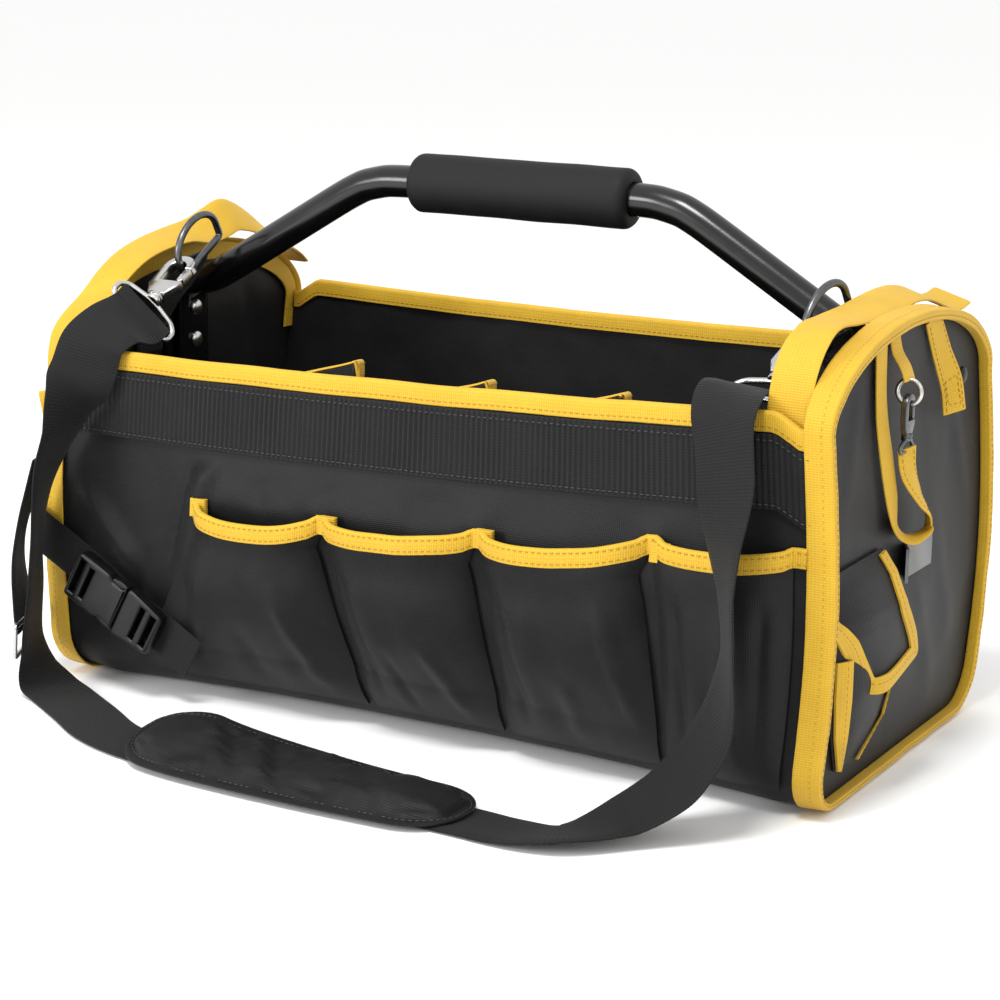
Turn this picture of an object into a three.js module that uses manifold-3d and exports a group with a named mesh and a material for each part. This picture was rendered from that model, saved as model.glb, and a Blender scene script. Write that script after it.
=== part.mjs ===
// An open canvas tool bag with a steel tube handle, pleated pockets and a shoulder strap.
// Millimetres: X runs along the bag, Y from its front to its back, Z up from the floor that it stands on.
import * as THREE from "three";
import { mergeVertices } from "three/addons/utils/BufferGeometryUtils.js";
import Module from "manifold-3d";

// Driving dimensions
const GAP = 0.3;
const BODY = { halfLength: 235, halfDepth: 119, wall: 2, endCorner: 26, middleCorner: 38, endBow: 6 };
const LIFT = { height: 2.8, from: 214, to: 228 };
const RIM = { front: 206, frontTilt: 6, frontSag: 3.5, back: 213, backSag: 4 };
const ARCH = { shoulder: 203, rise: 44, steps: 18 };
const FRONT = { bulge: 4, tuck: 24, tuckTop: 95 };
const BACK = { bulge: 5 };
const END_PANEL = { clear: 0.6, thickness: 2.4, middleHeight: 110 };
const FIN = { leg: 4.6, reach: 10, inner: 4, outer: 2.2, clear: 0.4 };
const RIM_TAPE = { clear: 0.6, tape: 1.2, depth: 13, end: 229.5 };
const BAND = { top: 14, bottom: 48, thickness: 1.5, end: 229.5 };
const POCKET = { foot: 14, clear: 0.9, wall: 1.6, seamHalf: 3, squareness: 4, tapeShare: 0.12 };
const INNER_POCKET = { foot: 70, clear: 2.6, low: 12, rise: 14, depth: 22, squareness: 3 };
const POCKET_TAPE = { clear: 0.7, tape: 1, depth: 8.5 };
const TUBE = { radius: 9.5, sides: 12, bladeHalfWidth: 14, bladeHalfThickness: 3.3, legX: 230.1 };
const GRIP = { radius: 17, length: 140, round: 5, height: 297, shift: 3, sides: 18, clear: 0.4 };
const BRACKET = { width: 44, bottom: 170, top: 224, thickness: 2, x: 234.8 };
const RIVET = { radius: 5, height: 2.4, levels: [189, 209] };
const ARCH_BAND = { thickness: 2, steps: 26 };
const D_RING = { halfBar: 21, leg: 9.5, height: 24, wire: 2.2, lean: 30, tabWidth: 26, tab: 2 };
const HOOK = { thickness: 6, gate: 5, width: 10.5, slot: 5.5, base: 28, height: 6.5 };
const LOOP = { halfWidth: 21.5, wire: 1.7, barrelRadius: 5, barrel: 6, bar: 48 };
const STRAP = { width: 38, thickness: 2, steps: 90 };
const PAD = { halfWidth: 32, thickness: 8, bottom: 2.6, fromX: -119, toX: 91, steps: 14, tilt: 14 };
const SLIDER = { width: 48, length: 22, bar: 3.4, thickness: 2.4 };
const SIDE_STRAP = { width: 25, thickness: 1.6, steps: 18 };
const BUCKLE = { halfWidth: 15, thickness: 9, x: -187, y: -134.7, z: 55.5, slope: -28 };
const TAPE_HOOK_SCALE = 0.6;
const TAPE = { x: 249, y: -26, ringHeight: 213, ringRadius: 8, ringWire: 1.3 };

const CANVAS = { color: 0x262627, roughness: 0.88, metalness: 0 };
const WEBBING_BLACK = { color: 0x1b1b1c, roughness: 0.9, metalness: 0 };
const TAPE_YELLOW = { color: 0xf2b31c, roughness: 0.8, metalness: 0 };
const PAINTED_STEEL = { color: 0x1a1a1b, roughness: 0.35, metalness: 0.3 };
const FOAM = { color: 0x222223, roughness: 0.75, metalness: 0 };
const GUNMETAL = { color: 0x5d5f61, roughness: 0.35, metalness: 1 };
const NICKEL = { color: 0xc9cacb, roughness: 0.28, metalness: 1 };
const BLACK_PLASTIC = { color: 0x1c1c1d, roughness: 0.55, metalness: 0 };

const wasm = await Module();
wasm.setup();
const bag = new THREE.Group();
const { clamp, degToRad, lerp } = THREE.MathUtils;
const point = (x, y, z) => new THREE.Vector3(x, y, z);

function addPart(name, geometry, finish, parent = bag) {
  const mesh = new THREE.Mesh(geometry, new THREE.MeshStandardMaterial(finish));
  mesh.name = name;
  parent.add(mesh);
  return mesh;
}

// A closed body from its vertices and triangles, turned so that its faces point out.
function closedBody(vertices, triangles) {
  let volume = 0;
  for (const [a, b, c] of triangles) {
    volume += vertices[a].dot(vertices[b].clone().cross(vertices[c]));
  }
  const index = triangles.flatMap(([a, b, c]) => (volume > 0 ? [a, b, c] : [a, c, b]));
  const geometry = new THREE.BufferGeometry();
  geometry.setAttribute("position", new THREE.Float32BufferAttribute(vertices.flatMap((v) => v.toArray()), 3));
  geometry.setIndex(index);
  return geometry;
}

// Cloth: a grid of points given a thickness along the side that rows x columns face.
function cloth(grid, thickness) {
  const rows = grid.length;
  const columns = grid[0].length;
  const facing = (i, j) => {
    const along = grid[Math.min(i + 1, rows - 1)][j].clone().sub(grid[Math.max(i - 1, 0)][j]);
    const down = grid[i][Math.min(j + 1, columns - 1)].clone().sub(grid[i][Math.max(j - 1, 0)]);
    return along.cross(down).normalize();
  };
  const front = grid.flat();
  const back = grid.flatMap((row, i) => row.map((p, j) => p.clone().addScaledVector(facing(i, j), thickness)));
  const at = (i, j, side) => side * rows * columns + i * columns + j;
  const triangles = [];
  const quad = (a, b, c, d) => triangles.push([a, b, c], [a, c, d]);
  for (let i = 0; i < rows - 1; i++) {
    for (let j = 0; j < columns - 1; j++) {
      quad(at(i, j, 0), at(i + 1, j, 0), at(i + 1, j + 1, 0), at(i, j + 1, 0));
      quad(at(i, j, 1), at(i, j + 1, 1), at(i + 1, j + 1, 1), at(i + 1, j, 1));
    }
    quad(at(i, 0, 0), at(i, 0, 1), at(i + 1, 0, 1), at(i + 1, 0, 0));
    quad(at(i, columns - 1, 0), at(i + 1, columns - 1, 0), at(i + 1, columns - 1, 1), at(i, columns - 1, 1));
  }
  for (let j = 0; j < columns - 1; j++) {
    quad(at(0, j, 0), at(0, j + 1, 0), at(0, j + 1, 1), at(0, j, 1));
    quad(at(rows - 1, j, 0), at(rows - 1, j, 1), at(rows - 1, j + 1, 1), at(rows - 1, j + 1, 0));
  }
  return closedBody([...front, ...back], triangles);
}

// A section, in [across, up] pairs, carried along frames of { at, across, up }.
function sweep(frames, sectionAt, closed = false) {
  const count = sectionAt(0).length;
  const vertices = frames.flatMap(({ at, across, up }, i) =>
    sectionAt(i).map(([a, b]) => at.clone().addScaledVector(across, a).addScaledVector(up, b)),
  );
  const triangles = [];
  const last = closed ? frames.length : frames.length - 1;
  for (let i = 0; i < last; i++) {
    const next = (i + 1) % frames.length;
    for (let j = 0; j < count; j++) {
      const k = (j + 1) % count;
      triangles.push([i * count + j, i * count + k, next * count + k]);
      triangles.push([i * count + j, next * count + k, next * count + j]);
    }
  }
  if (!closed) {
    const outline = sectionAt(0).map(([a, b]) => new THREE.Vector2(a, b));
    const end = (frames.length - 1) * count;
    const turned = THREE.ShapeUtils.isClockWise(outline);
    for (const [a, b, c] of THREE.ShapeUtils.triangulateShape(outline, [])) {
      const [first, second] = turned ? [b, c] : [c, b];
      triangles.push([a, first, second]);
      triangles.push([end + a, end + second, end + first]);
    }
  }
  return closedBody(vertices, triangles);
}

const ringSection = (radius, sides) =>
  Array.from({ length: sides }, (_, i) => {
    const turn = (2 * Math.PI * i) / sides;
    return [radius * Math.cos(turn), radius * Math.sin(turn)];
  });

// Frames of a flat strip through rows of { x, y, z, wx, wy, wz }: a place and the direction of its width.
function stripFrames(rows, steps) {
  const route = new THREE.CatmullRomCurve3(rows.map((r) => point(r.x, r.y, r.z)), false, "centripetal");
  const widths = new THREE.CatmullRomCurve3(rows.map((r) => point(r.wx, r.wy, r.wz)), false, "centripetal");
  return Array.from({ length: steps + 1 }, (_, i) => {
    const share = i / steps;
    const along = route.getTangent(share);
    const up = along.clone().cross(widths.getPoint(share)).normalize();
    return { at: route.getPoint(share), across: up.clone().cross(along).normalize(), up };
  });
}

function webbing(frames, width, thickness, offset = 0) {
  const grid = frames.map(({ at, across, up }) =>
    [-width / 2, 0, width / 2].map((a) =>
      at.clone().addScaledVector(across, a).addScaledVector(up, offset - thickness / 2),
    ),
  );
  return cloth(grid, thickness);
}

const strip = (rows, width, thickness, steps) => webbing(stripFrames(rows, steps), width, thickness);

function plate(shape, thickness) {
  const settings = { depth: thickness, bevelEnabled: false, curveSegments: 6 };
  return new THREE.ExtrudeGeometry(shape, settings).translate(0, 0, -thickness / 2);
}

function polygon(corners) {
  return new THREE.Shape(corners.map(([x, y]) => new THREE.Vector2(x, y)));
}

function solidOf(geometry) {
  const bare = new THREE.BufferGeometry();
  bare.setAttribute("position", (geometry.index ? geometry.toNonIndexed() : geometry).getAttribute("position"));
  const merged = mergeVertices(bare, 1e-3);
  const vertProperties = new Float32Array(merged.attributes.position.array);
  const triVerts = new Uint32Array(merged.index.array);
  return new wasm.Manifold(new wasm.Mesh({ numProp: 3, vertProperties, triVerts }));
}

function joined(first, second) {
  const mesh = solidOf(first).add(solidOf(second)).getMesh();
  const geometry = new THREE.BufferGeometry();
  geometry.setAttribute("position", new THREE.BufferAttribute(mesh.vertProperties, 3));
  return geometry.setIndex([...mesh.triVerts]);
}

// The bag's own shape. u is a place along the bag before its ends bow out, from -halfLength to halfLength.
const middle = (u) => 1 - (u / BODY.halfLength) ** 2;
const bow = (z) => BODY.endBow * Math.sin(Math.PI * clamp(z / ARCH.shoulder, 0, 1));
const endX = (z) => BODY.halfLength + bow(z);
const spread = (u, z) => (u * endX(z)) / BODY.halfLength;
const corner = (u) => lerp(BODY.endCorner, BODY.middleCorner, middle(u));
const lift = (u) => LIFT.height * clamp((Math.abs(u) - LIFT.from) / (LIFT.to - LIFT.from), 0, 1);
const dip = (u, z) => lerp(z, Math.min(z, ARCH.shoulder), lift(u) / LIFT.height);
const frontRim = (u) => dip(u, RIM.front + (RIM.frontTilt * u) / BODY.halfLength - RIM.frontSag * middle(u));
const backRim = (u) => dip(u, RIM.back - RIM.backSag * middle(u));
const swell = (z, top) => Math.sin(Math.PI * clamp(z / top, 0, 1));
const backFace = (u, z) => BODY.halfDepth + BACK.bulge * middle(u) * swell(z, RIM.back);

function frontWall(u, z) {
  const tuck = FRONT.tuck * (1 - clamp(z / FRONT.tuckTop, 0, 1)) ** 1.5;
  return -BODY.halfDepth - middle(u) * (FRONT.bulge * swell(z, RIM.front) - tuck);
}

// The front's outer face, round its bottom corner too.
function frontFace(u, z) {
  const radius = corner(u);
  const base = radius + lift(u);
  if (z >= base) return frontWall(u, z);
  return frontWall(u, base) + radius - Math.sqrt(Math.max(0, radius ** 2 - (base - z) ** 2));
}

// Front rim, front wall, bottom and back wall of one cross-section, as [y, z] pairs.
const WALL_LEVELS = [0, 0.12, 0.35, 0.6, 0.82];
const CORNER_STEPS = 4;
const BOTTOM_PLACES = [-30, 55];
function crossSection(u, frontTop, backTop) {
  const radius = corner(u);
  const base = radius + lift(u);
  const frontAxis = frontWall(u, base) + radius;
  const backAxis = backFace(u, base) - radius;
  const turns = Array.from({ length: CORNER_STEPS + 1 }, (_, i) => ((Math.PI / 2) * i) / CORNER_STEPS);
  const frontLevels = WALL_LEVELS.map((share) => lerp(frontTop, base, share));
  const backLevels = WALL_LEVELS.map((share) => lerp(backTop, base, share)).reverse();
  return [
    ...frontLevels.map((z) => [frontWall(u, z), z]),
    ...turns.map((turn) => [frontAxis - radius * Math.cos(turn), base - radius * Math.sin(turn)]),
    ...BOTTOM_PLACES.map((y) => [y, lift(u)]),
    ...turns.map((turn) => [backAxis + radius * Math.sin(turn), base - radius * Math.cos(turn)]),
    ...backLevels.map((z) => [backFace(u, z), z]),
  ];
}

const SECTIONS = [-235, -228, -214, -170, -110, -40, 40, 110, 170, 214, 228, 235];
const wrap = SECTIONS.map((u) => {
  const section = crossSection(u, frontRim(u), backRim(u));
  return section.map(([y, z]) => point(spread(u, z), y, z));
});
addPart("body_wrap", cloth(wrap, BODY.wall), CANVAS);

// Outline of an end wall: the bag's cross-section up to the shoulders, then half an ellipse.
const endOutline = [
  ...crossSection(BODY.halfLength, ARCH.shoulder, ARCH.shoulder),
  ...Array.from({ length: ARCH.steps - 1 }, (_, i) => {
    const turn = (Math.PI * (i + 1)) / ARCH.steps;
    return [BODY.halfDepth * Math.cos(turn), ARCH.shoulder + ARCH.rise * Math.sin(turn)];
  }),
];
const SIDES = [{ name: "left", sign: -1 }, { name: "right", sign: 1 }];

function endWall(sign) {
  const middleRing = endOutline.map(([y, z]) => [y / 2, (z + END_PANEL.middleHeight) / 2]);
  const faces = [END_PANEL.clear, END_PANEL.clear + END_PANEL.thickness];
  const count = endOutline.length;
  const places = [...endOutline, ...middleRing, [0, END_PANEL.middleHeight]];
  const vertices = faces.flatMap((out) => places.map(([y, z]) => point(sign * (endX(z) + out), y, z)));
  const triangles = [];
  const centre = 2 * count;
  const other = centre + 1;
  for (let i = 0; i < count; i++) {
    const k = (i + 1) % count;
    const inner = [[i, k, count + k], [i, count + k, count + i], [count + i, count + k, centre]];
    triangles.push(...inner, ...inner.map(([a, b, c]) => [other + a, other + c, other + b]));
    triangles.push([k, i, other + i], [k, other + i, other + k]);
  }
  return closedBody(vertices, triangles);
}

// Yellow tape fin round an end seam: a leg on the body's outer face and a folded edge that stands out.
function endBinding(sign) {
  const count = endOutline.length;
  const frames = endOutline.map(([y, z], i) => {
    const [beforeY, beforeZ] = endOutline[(i + count - 1) % count];
    const [afterY, afterZ] = endOutline[(i + 1) % count];
    const up = point(0, beforeZ - afterZ, afterY - beforeY).normalize().negate();
    return { at: point(sign * endX(z), y, z), across: point(sign, 0, 0), up };
  });
  const inside = END_PANEL.clear + END_PANEL.thickness + FIN.clear;
  const section = [
    [-FIN.leg, FIN.clear], [inside, FIN.clear], [inside, -FIN.inner],
    [FIN.reach, -FIN.inner], [FIN.reach, FIN.outer], [-FIN.leg, FIN.outer],
  ];
  return sweep(frames, () => section, true);
}

for (const { name, sign } of SIDES) {
  addPart(`end_panel_${name}`, endWall(sign), CANVAS);
  addPart(`end_binding_${name}`, endBinding(sign), TAPE_YELLOW);
}

// Yellow tape folded over the long rims.
function rimBinding(rim, face, outward) {
  const places = [-RIM_TAPE.end, -LIFT.to, ...SECTIONS.slice(2, -2), LIFT.to, RIM_TAPE.end];
  const frames = places.map((u) => ({
    at: point(u, face(u, rim(u)), rim(u)),
    across: point(0, outward, 0),
    up: point(0, 0, 1),
  }));
  const inner = -BODY.wall - RIM_TAPE.clear;
  const top = RIM_TAPE.clear + RIM_TAPE.tape;
  const sectionAt = (i) => {
    const u = places[i];
    const outer = RIM_TAPE.clear + outward * (face(u, rim(u) - RIM_TAPE.depth) - face(u, rim(u)));
    return [
      [outer, -RIM_TAPE.depth], [outer + RIM_TAPE.tape, -RIM_TAPE.depth], [outer + RIM_TAPE.tape, top],
      [inner - RIM_TAPE.tape, top], [inner - RIM_TAPE.tape, -RIM_TAPE.depth],
      [inner, -RIM_TAPE.depth], [inner, RIM_TAPE.clear], [outer, RIM_TAPE.clear],
    ];
  };
  return sweep(frames, sectionAt);
}
addPart("front_rim_binding", rimBinding(frontRim, frontWall, -1), TAPE_YELLOW);
addPart("back_rim_binding", rimBinding(backRim, backFace, 1), TAPE_YELLOW);

// Ribbed webbing band sewn flat under the front rim.
const bandPlaces = [-BAND.end, -LIFT.to, ...SECTIONS.slice(2, -2), LIFT.to, BAND.end];
const bandGrid = bandPlaces.map((u) =>
  [BAND.top, (BAND.top + BAND.bottom) / 2, BAND.bottom].map((drop) => {
    const z = frontRim(u) - drop;
    return point(spread(u, z), frontWall(u, z) - RIM_TAPE.clear, z);
  }),
);
addPart("front_webbing_band", cloth(bandGrid, -BAND.thickness), WEBBING_BLACK);

// Pleated pockets: the seams that hold them, and each pocket's sag and fullness.
const SEAMS = [
  { top: -134, foot: -186, mouth: 121 },
  { top: -46, foot: -30, mouth: 123.5 },
  { top: 50, foot: 58, mouth: 129.5 },
  { top: 148, foot: 155, mouth: 139 },
  { top: 225, foot: 225, mouth: 142 },
];
const POCKETS = [
  { sag: 6, depth: 17 },
  { sag: 2.5, depth: 17 },
  { sag: 4.5, depth: 17 },
  { sag: 3, depth: 10 },
];
const FULLNESS = [
  { drop: 0, full: 0.8 },
  { drop: POCKET.tapeShare, full: 0.8 },
  { drop: 0.35, full: 1 },
  { drop: 0.6, full: 0.85 },
  { drop: 0.8, full: 0.5 },
  { drop: 0.91, full: 0.25 },
  { drop: 1, full: 0.06 },
];
const ACROSS = [0, 0.06, 0.17, 0.33, 0.5, 0.67, 0.83, 0.94, 1];
const crown = (share, squareness) => 1 - Math.abs(2 * share - 1) ** squareness;

function frontPocketPoint(i, share, { drop, full }) {
  const [from, to] = [SEAMS[i], SEAMS[i + 1]];
  const lean = Math.max(0, drop - POCKET.tapeShare) / (1 - POCKET.tapeShare);
  const left = lerp(from.top, from.foot, lean) + POCKET.seamHalf;
  const right = lerp(to.top, to.foot, lean) - POCKET.seamHalf;
  const mouth = lerp(from.mouth, to.mouth, share) - POCKETS[i].sag * crown(share, 2);
  const u = lerp(left, right, share);
  const z = lerp(mouth, POCKET.foot, drop);
  const out = POCKET.clear + POCKETS[i].depth * full * crown(share, POCKET.squareness);
  return point(spread(u, z), frontFace(u, z) - out, z);
}

// Tape folded over the mouths of a row of pockets, on the side that faces away from the wall.
function mouthTape(mouths, facing) {
  const frames = mouths.map((at, i) => {
    const before = mouths[Math.max(i - 1, 0)];
    const after = mouths[Math.min(i + 1, mouths.length - 1)];
    const across = point(after.y - before.y, before.x - after.x, 0).normalize().multiplyScalar(facing);
    return { at, across, up: point(0, 0, 1) };
  });
  const inner = POCKET.wall + POCKET_TAPE.clear;
  const outer = inner + POCKET_TAPE.tape;
  const top = POCKET_TAPE.clear + POCKET_TAPE.tape;
  const section = [
    [inner, -POCKET_TAPE.depth], [outer, -POCKET_TAPE.depth], [outer, top],
    [0, top], [0, POCKET_TAPE.clear], [inner, POCKET_TAPE.clear],
  ];
  return sweep(frames, () => section);
}

POCKETS.forEach((_, i) => {
  const grid = ACROSS.map((share) => FULLNESS.map((row) => frontPocketPoint(i, share, row)));
  addPart(`front_pocket_${i + 1}`, cloth(grid, -POCKET.wall), CANVAS);
});
const frontMouths = POCKETS.flatMap((_, i) => ACROSS.map((share) => frontPocketPoint(i, share, FULLNESS[0])));
addPart("front_pocket_binding", mouthTape(frontMouths, 1), TAPE_YELLOW);

// Pockets inside the front wall. Each mouth rises towards its right-hand seam.
const INNER_SEAMS = [-150, -36, 46, 127];
const INNER_ACROSS = [0, 0.1, 0.3, 0.5, 0.7, 0.9, 1];
const INNER_DROPS = [0, 0.15, 0.55, 1];

function innerPocketPoint(i, share, drop) {
  const u = lerp(INNER_SEAMS[i] + POCKET.seamHalf, INNER_SEAMS[i + 1] - POCKET.seamHalf, share);
  const mouth = frontRim(u) - INNER_POCKET.low + INNER_POCKET.rise * share ** 2;
  const z = lerp(mouth, INNER_POCKET.foot, drop);
  const full = drop < 0.5 ? 1 : lerp(0.8, 0.1, (drop - 0.5) * 2);
  const out = INNER_POCKET.clear + INNER_POCKET.depth * full * crown(share, INNER_POCKET.squareness);
  return point(spread(u, z), frontWall(u, z) + BODY.wall + out, z);
}

for (let i = 0; i < INNER_SEAMS.length - 1; i++) {
  const grid = INNER_ACROSS.map((share) => INNER_DROPS.map((drop) => innerPocketPoint(i, share, drop)));
  addPart(`inner_pocket_${i + 1}`, cloth(grid, POCKET.wall), CANVAS);
}
const innerMouths = INNER_SEAMS.slice(1).flatMap((_, i) => {
  const mouth = INNER_ACROSS.map((share) => innerPocketPoint(i, share, 0));
  return [...mouth, mouth[mouth.length - 1].clone().add(point(POCKET.seamHalf / 2, 0, 0))];
});
addPart("inner_pocket_binding", mouthTape(innerMouths, -1), TAPE_YELLOW);

// Handle: one bent steel tube whose legs are flattened and riveted to brackets on the end walls.
const HALF_HANDLE = [
  { x: TUBE.legX, z: 176, half: TUBE.bladeHalfThickness, wide: TUBE.bladeHalfWidth },
  { x: TUBE.legX, z: 215.5, half: TUBE.bladeHalfThickness, wide: TUBE.bladeHalfWidth },
  { x: 228, z: 220.5, half: 5, wide: 13.2 },
  { x: 221.5, z: 225.5, half: 7.8, wide: 11 },
  { x: 210, z: 230.5, half: TUBE.radius, wide: TUBE.radius },
  { x: 163, z: 258.5, half: TUBE.radius, wide: TUBE.radius },
  { x: 116, z: 286.5, half: TUBE.radius, wide: TUBE.radius },
  { x: 103, z: 293, half: TUBE.radius, wide: TUBE.radius },
  { x: 88, z: 296.4, half: TUBE.radius, wide: TUBE.radius },
  { x: 72, z: GRIP.height, half: TUBE.radius, wide: TUBE.radius },
];
const handleRows = [...HALF_HANDLE.map((row) => ({ ...row, x: -row.x })), ...HALF_HANDLE.slice().reverse()];
const handleFrames = handleRows.map((row, i) => {
  const before = handleRows[Math.max(i - 1, 0)];
  const after = handleRows[Math.min(i + 1, handleRows.length - 1)];
  const along = point(after.x - before.x, 0, after.z - before.z).normalize();
  return { at: point(row.x, 0, row.z), across: point(-along.z, 0, along.x), up: point(0, 1, 0) };
});
const roundTube = ringSection(1, TUBE.sides);
const tubeSection = (i) => roundTube.map(([a, b]) => [a * handleRows[i].half, b * handleRows[i].wide]);
addPart("handle_tube", sweep(handleFrames, tubeSection), PAINTED_STEEL);

// Foam grip, with rounded ends, sleeved on the tube.
const gripBore = TUBE.radius + GRIP.clear;
const gripHalf = GRIP.length / 2;
const gripProfile = [
  [gripBore, -gripHalf], [GRIP.radius - GRIP.round, -gripHalf], [GRIP.radius - 1.5, 1.5 - gripHalf],
  [GRIP.radius, GRIP.round - gripHalf], [GRIP.radius, gripHalf - GRIP.round], [GRIP.radius - 1.5, gripHalf - 1.5],
  [GRIP.radius - GRIP.round, gripHalf], [gripBore, gripHalf], [gripBore, -gripHalf],
].map(([radius, along]) => new THREE.Vector2(radius, along));
const grip = addPart("handle_grip", new THREE.LatheGeometry(gripProfile, GRIP.sides), FOAM);
grip.position.set(GRIP.shift, 0, GRIP.height);
grip.rotation.z = -Math.PI / 2;

function dome(radius, height) {
  const profile = [[0, 0], [radius, 0], [radius * 0.8, height * 0.7], [0, height]];
  return new THREE.LatheGeometry(profile.map(([r, h]) => new THREE.Vector2(r, h)), 10);
}

for (const { name, sign } of SIDES) {
  const bracketBox = new THREE.BoxGeometry(BRACKET.thickness, BRACKET.width, BRACKET.top - BRACKET.bottom);
  const bracket = addPart(`handle_bracket_${name}`, bracketBox, PAINTED_STEEL);
  bracket.position.set(sign * BRACKET.x, 0, (BRACKET.top + BRACKET.bottom) / 2);
  RIVET.levels.forEach((z, i) => {
    const rivet = addPart(`handle_rivet_${name}_${i + 1}`, dome(RIVET.radius, RIVET.height), NICKEL);
    rivet.position.set(sign * (TUBE.legX - TUBE.bladeHalfThickness - GAP), 0, z);
    rivet.rotation.z = (sign * Math.PI) / 2;
  });
}

// Yellow webbing over each end arch, from the front rim to a free tail behind, in rows of [y, z, tilt of its width].
// The left one stands up, slack. The right one comes out from behind the rim tape, and its tail is turned up.
const ARCH_BANDS = [
  {
    name: "left", from: -243, to: -218,
    rows: [[-122.8, 194], [-122.8, 203], [-119.5, 216], [-107, 230], [-80, 243.5], [-45, 251, 0.1], [-15, 254.5, 0.25],
      [10, 255, 0.6], [26, 258.5, 0.9], [40, 262, 1], [52, 260, 1], [72, 252.5, 0.8], [90, 243, 0.5],
      [104, 234, 0.2], [112, 226]],
  },
  {
    name: "right", from: 206.5, to: 230,
    rows: [[-113, 197], [-113, 211], [-111.5, 219], [-107, 230], [-95, 242.5], [-78, 249.6], [-52, 249.8, 0.1],
      [-25, 249.6, 0.2], [8, 251.6, 0.25], [40, 252.2, 0.25], [61, 249.6, 0.28], [80, 244.6, 0.3],
      [97, 240.2, 0.3], [109, 239.6, 0.3], [121, 241.2, 0.3]],
  },
];
for (const { name, from, to, rows } of ARCH_BANDS) {
  const x = (from + to) / 2;
  const stripRows = rows.map(([y, z, tilt = 0]) => ({ x, y, z, wx: 1, wy: 0, wz: -tilt }));
  addPart(`arch_band_${name}`, strip(stripRows, to - from, ARCH_BAND.thickness, ARCH_BAND.steps), TAPE_YELLOW);
}

// Spring hook, flat in its own XY plane: the ring that it holds crosses its origin, and its base points to -Y.
function hookShape(closedGate) {
  const { width, slot, base } = HOOK;
  const shape = new THREE.Shape();
  shape.moveTo(-6, -base);
  shape.lineTo(6, -base);
  shape.lineTo(width, -20);
  shape.lineTo(width, closedGate ? -2.5 : -15.5);
  if (!closedGate) {
    shape.lineTo(-slot, -15.5);
    shape.lineTo(-slot, -3);
    shape.absarc(0, -3, slot, Math.PI, 0, true);
    shape.lineTo(slot, -3.5);
    shape.lineTo(width, -3.5);
  }
  shape.absarc(0, -2.5, width, 0, Math.PI, false);
  shape.lineTo(-width, -20);
  if (closedGate) {
    const eye = new THREE.Path();
    eye.moveTo(-slot, -15.5);
    eye.lineTo(slot, -15.5);
    eye.lineTo(slot, -3);
    eye.absarc(0, -3, slot, 0, Math.PI, false);
    shape.holes.push(eye);
  }
  return shape;
}

// Gate of the hook: a bar with a round foot on its pivot at GATE_PIVOT.
const GATE_PIVOT = { x: 8, y: -13 };
const GATE_HALF = 2.1;
function gateShape() {
  const shape = new THREE.Shape();
  shape.moveTo(GATE_HALF, 0);
  shape.lineTo(GATE_HALF, -3.9 - GATE_PIVOT.y);
  shape.lineTo(-GATE_HALF, -3.9 - GATE_PIVOT.y);
  shape.lineTo(-GATE_HALF, 0);
  shape.absarc(0, 0, GATE_HALF, Math.PI, 2 * Math.PI, false);
  return shape;
}

// Wire loop with its swivel barrel, below the hook's base.
function swivelLoop(halfWidth, bar, wire, barrelRadius) {
  const top = -HOOK.base - GAP - LOOP.barrel + 1;
  const corners = [
    [3, top], [halfWidth - 5, top - 2.5], [halfWidth, top - 7], [halfWidth, 2 - bar], [halfWidth - 2, -bar],
    [2 - halfWidth, -bar], [-halfWidth, 2 - bar], [-halfWidth, top - 7], [5 - halfWidth, top - 2.5], [-3, top],
  ];
  const frames = corners.map(([x, y], i) => {
    const [beforeX, beforeY] = corners[(i + corners.length - 1) % corners.length];
    const [afterX, afterY] = corners[(i + 1) % corners.length];
    const across = point(afterY - beforeY, beforeX - afterX, 0).normalize();
    return { at: point(x, y, 0), across, up: point(0, 0, 1) };
  });
  const barrel = new THREE.CylinderGeometry(barrelRadius, barrelRadius, LOOP.barrel, 12);
  barrel.translate(0, -HOOK.base - GAP - LOOP.barrel / 2, 0);
  return joined(sweep(frames, () => ringSection(wire, 6), true), barrel);
}

// D-rings: a straight bar along local Y, an arc above it towards local Z.
function dRing() {
  const { halfBar, leg, height, wire } = D_RING;
  const arc = Array.from({ length: 13 }, (_, i) => {
    const turn = (Math.PI * i) / 12;
    return [halfBar * Math.cos(turn), leg + (height - leg) * Math.sin(turn)];
  });
  const outline = [...arc, [-halfBar, 1.5], [1.5 - halfBar, 0], [halfBar - 1.5, 0], [halfBar, 1.5]];
  const frames = outline.map(([y, z], i) => {
    const [beforeY, beforeZ] = outline[(i + outline.length - 1) % outline.length];
    const [afterY, afterZ] = outline[(i + 1) % outline.length];
    const up = point(0, afterZ - beforeZ, beforeY - afterY).normalize();
    return { at: point(0, y, z), across: point(1, 0, 0), up };
  });
  return sweep(frames, () => ringSection(wire, 6), true);
}

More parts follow.
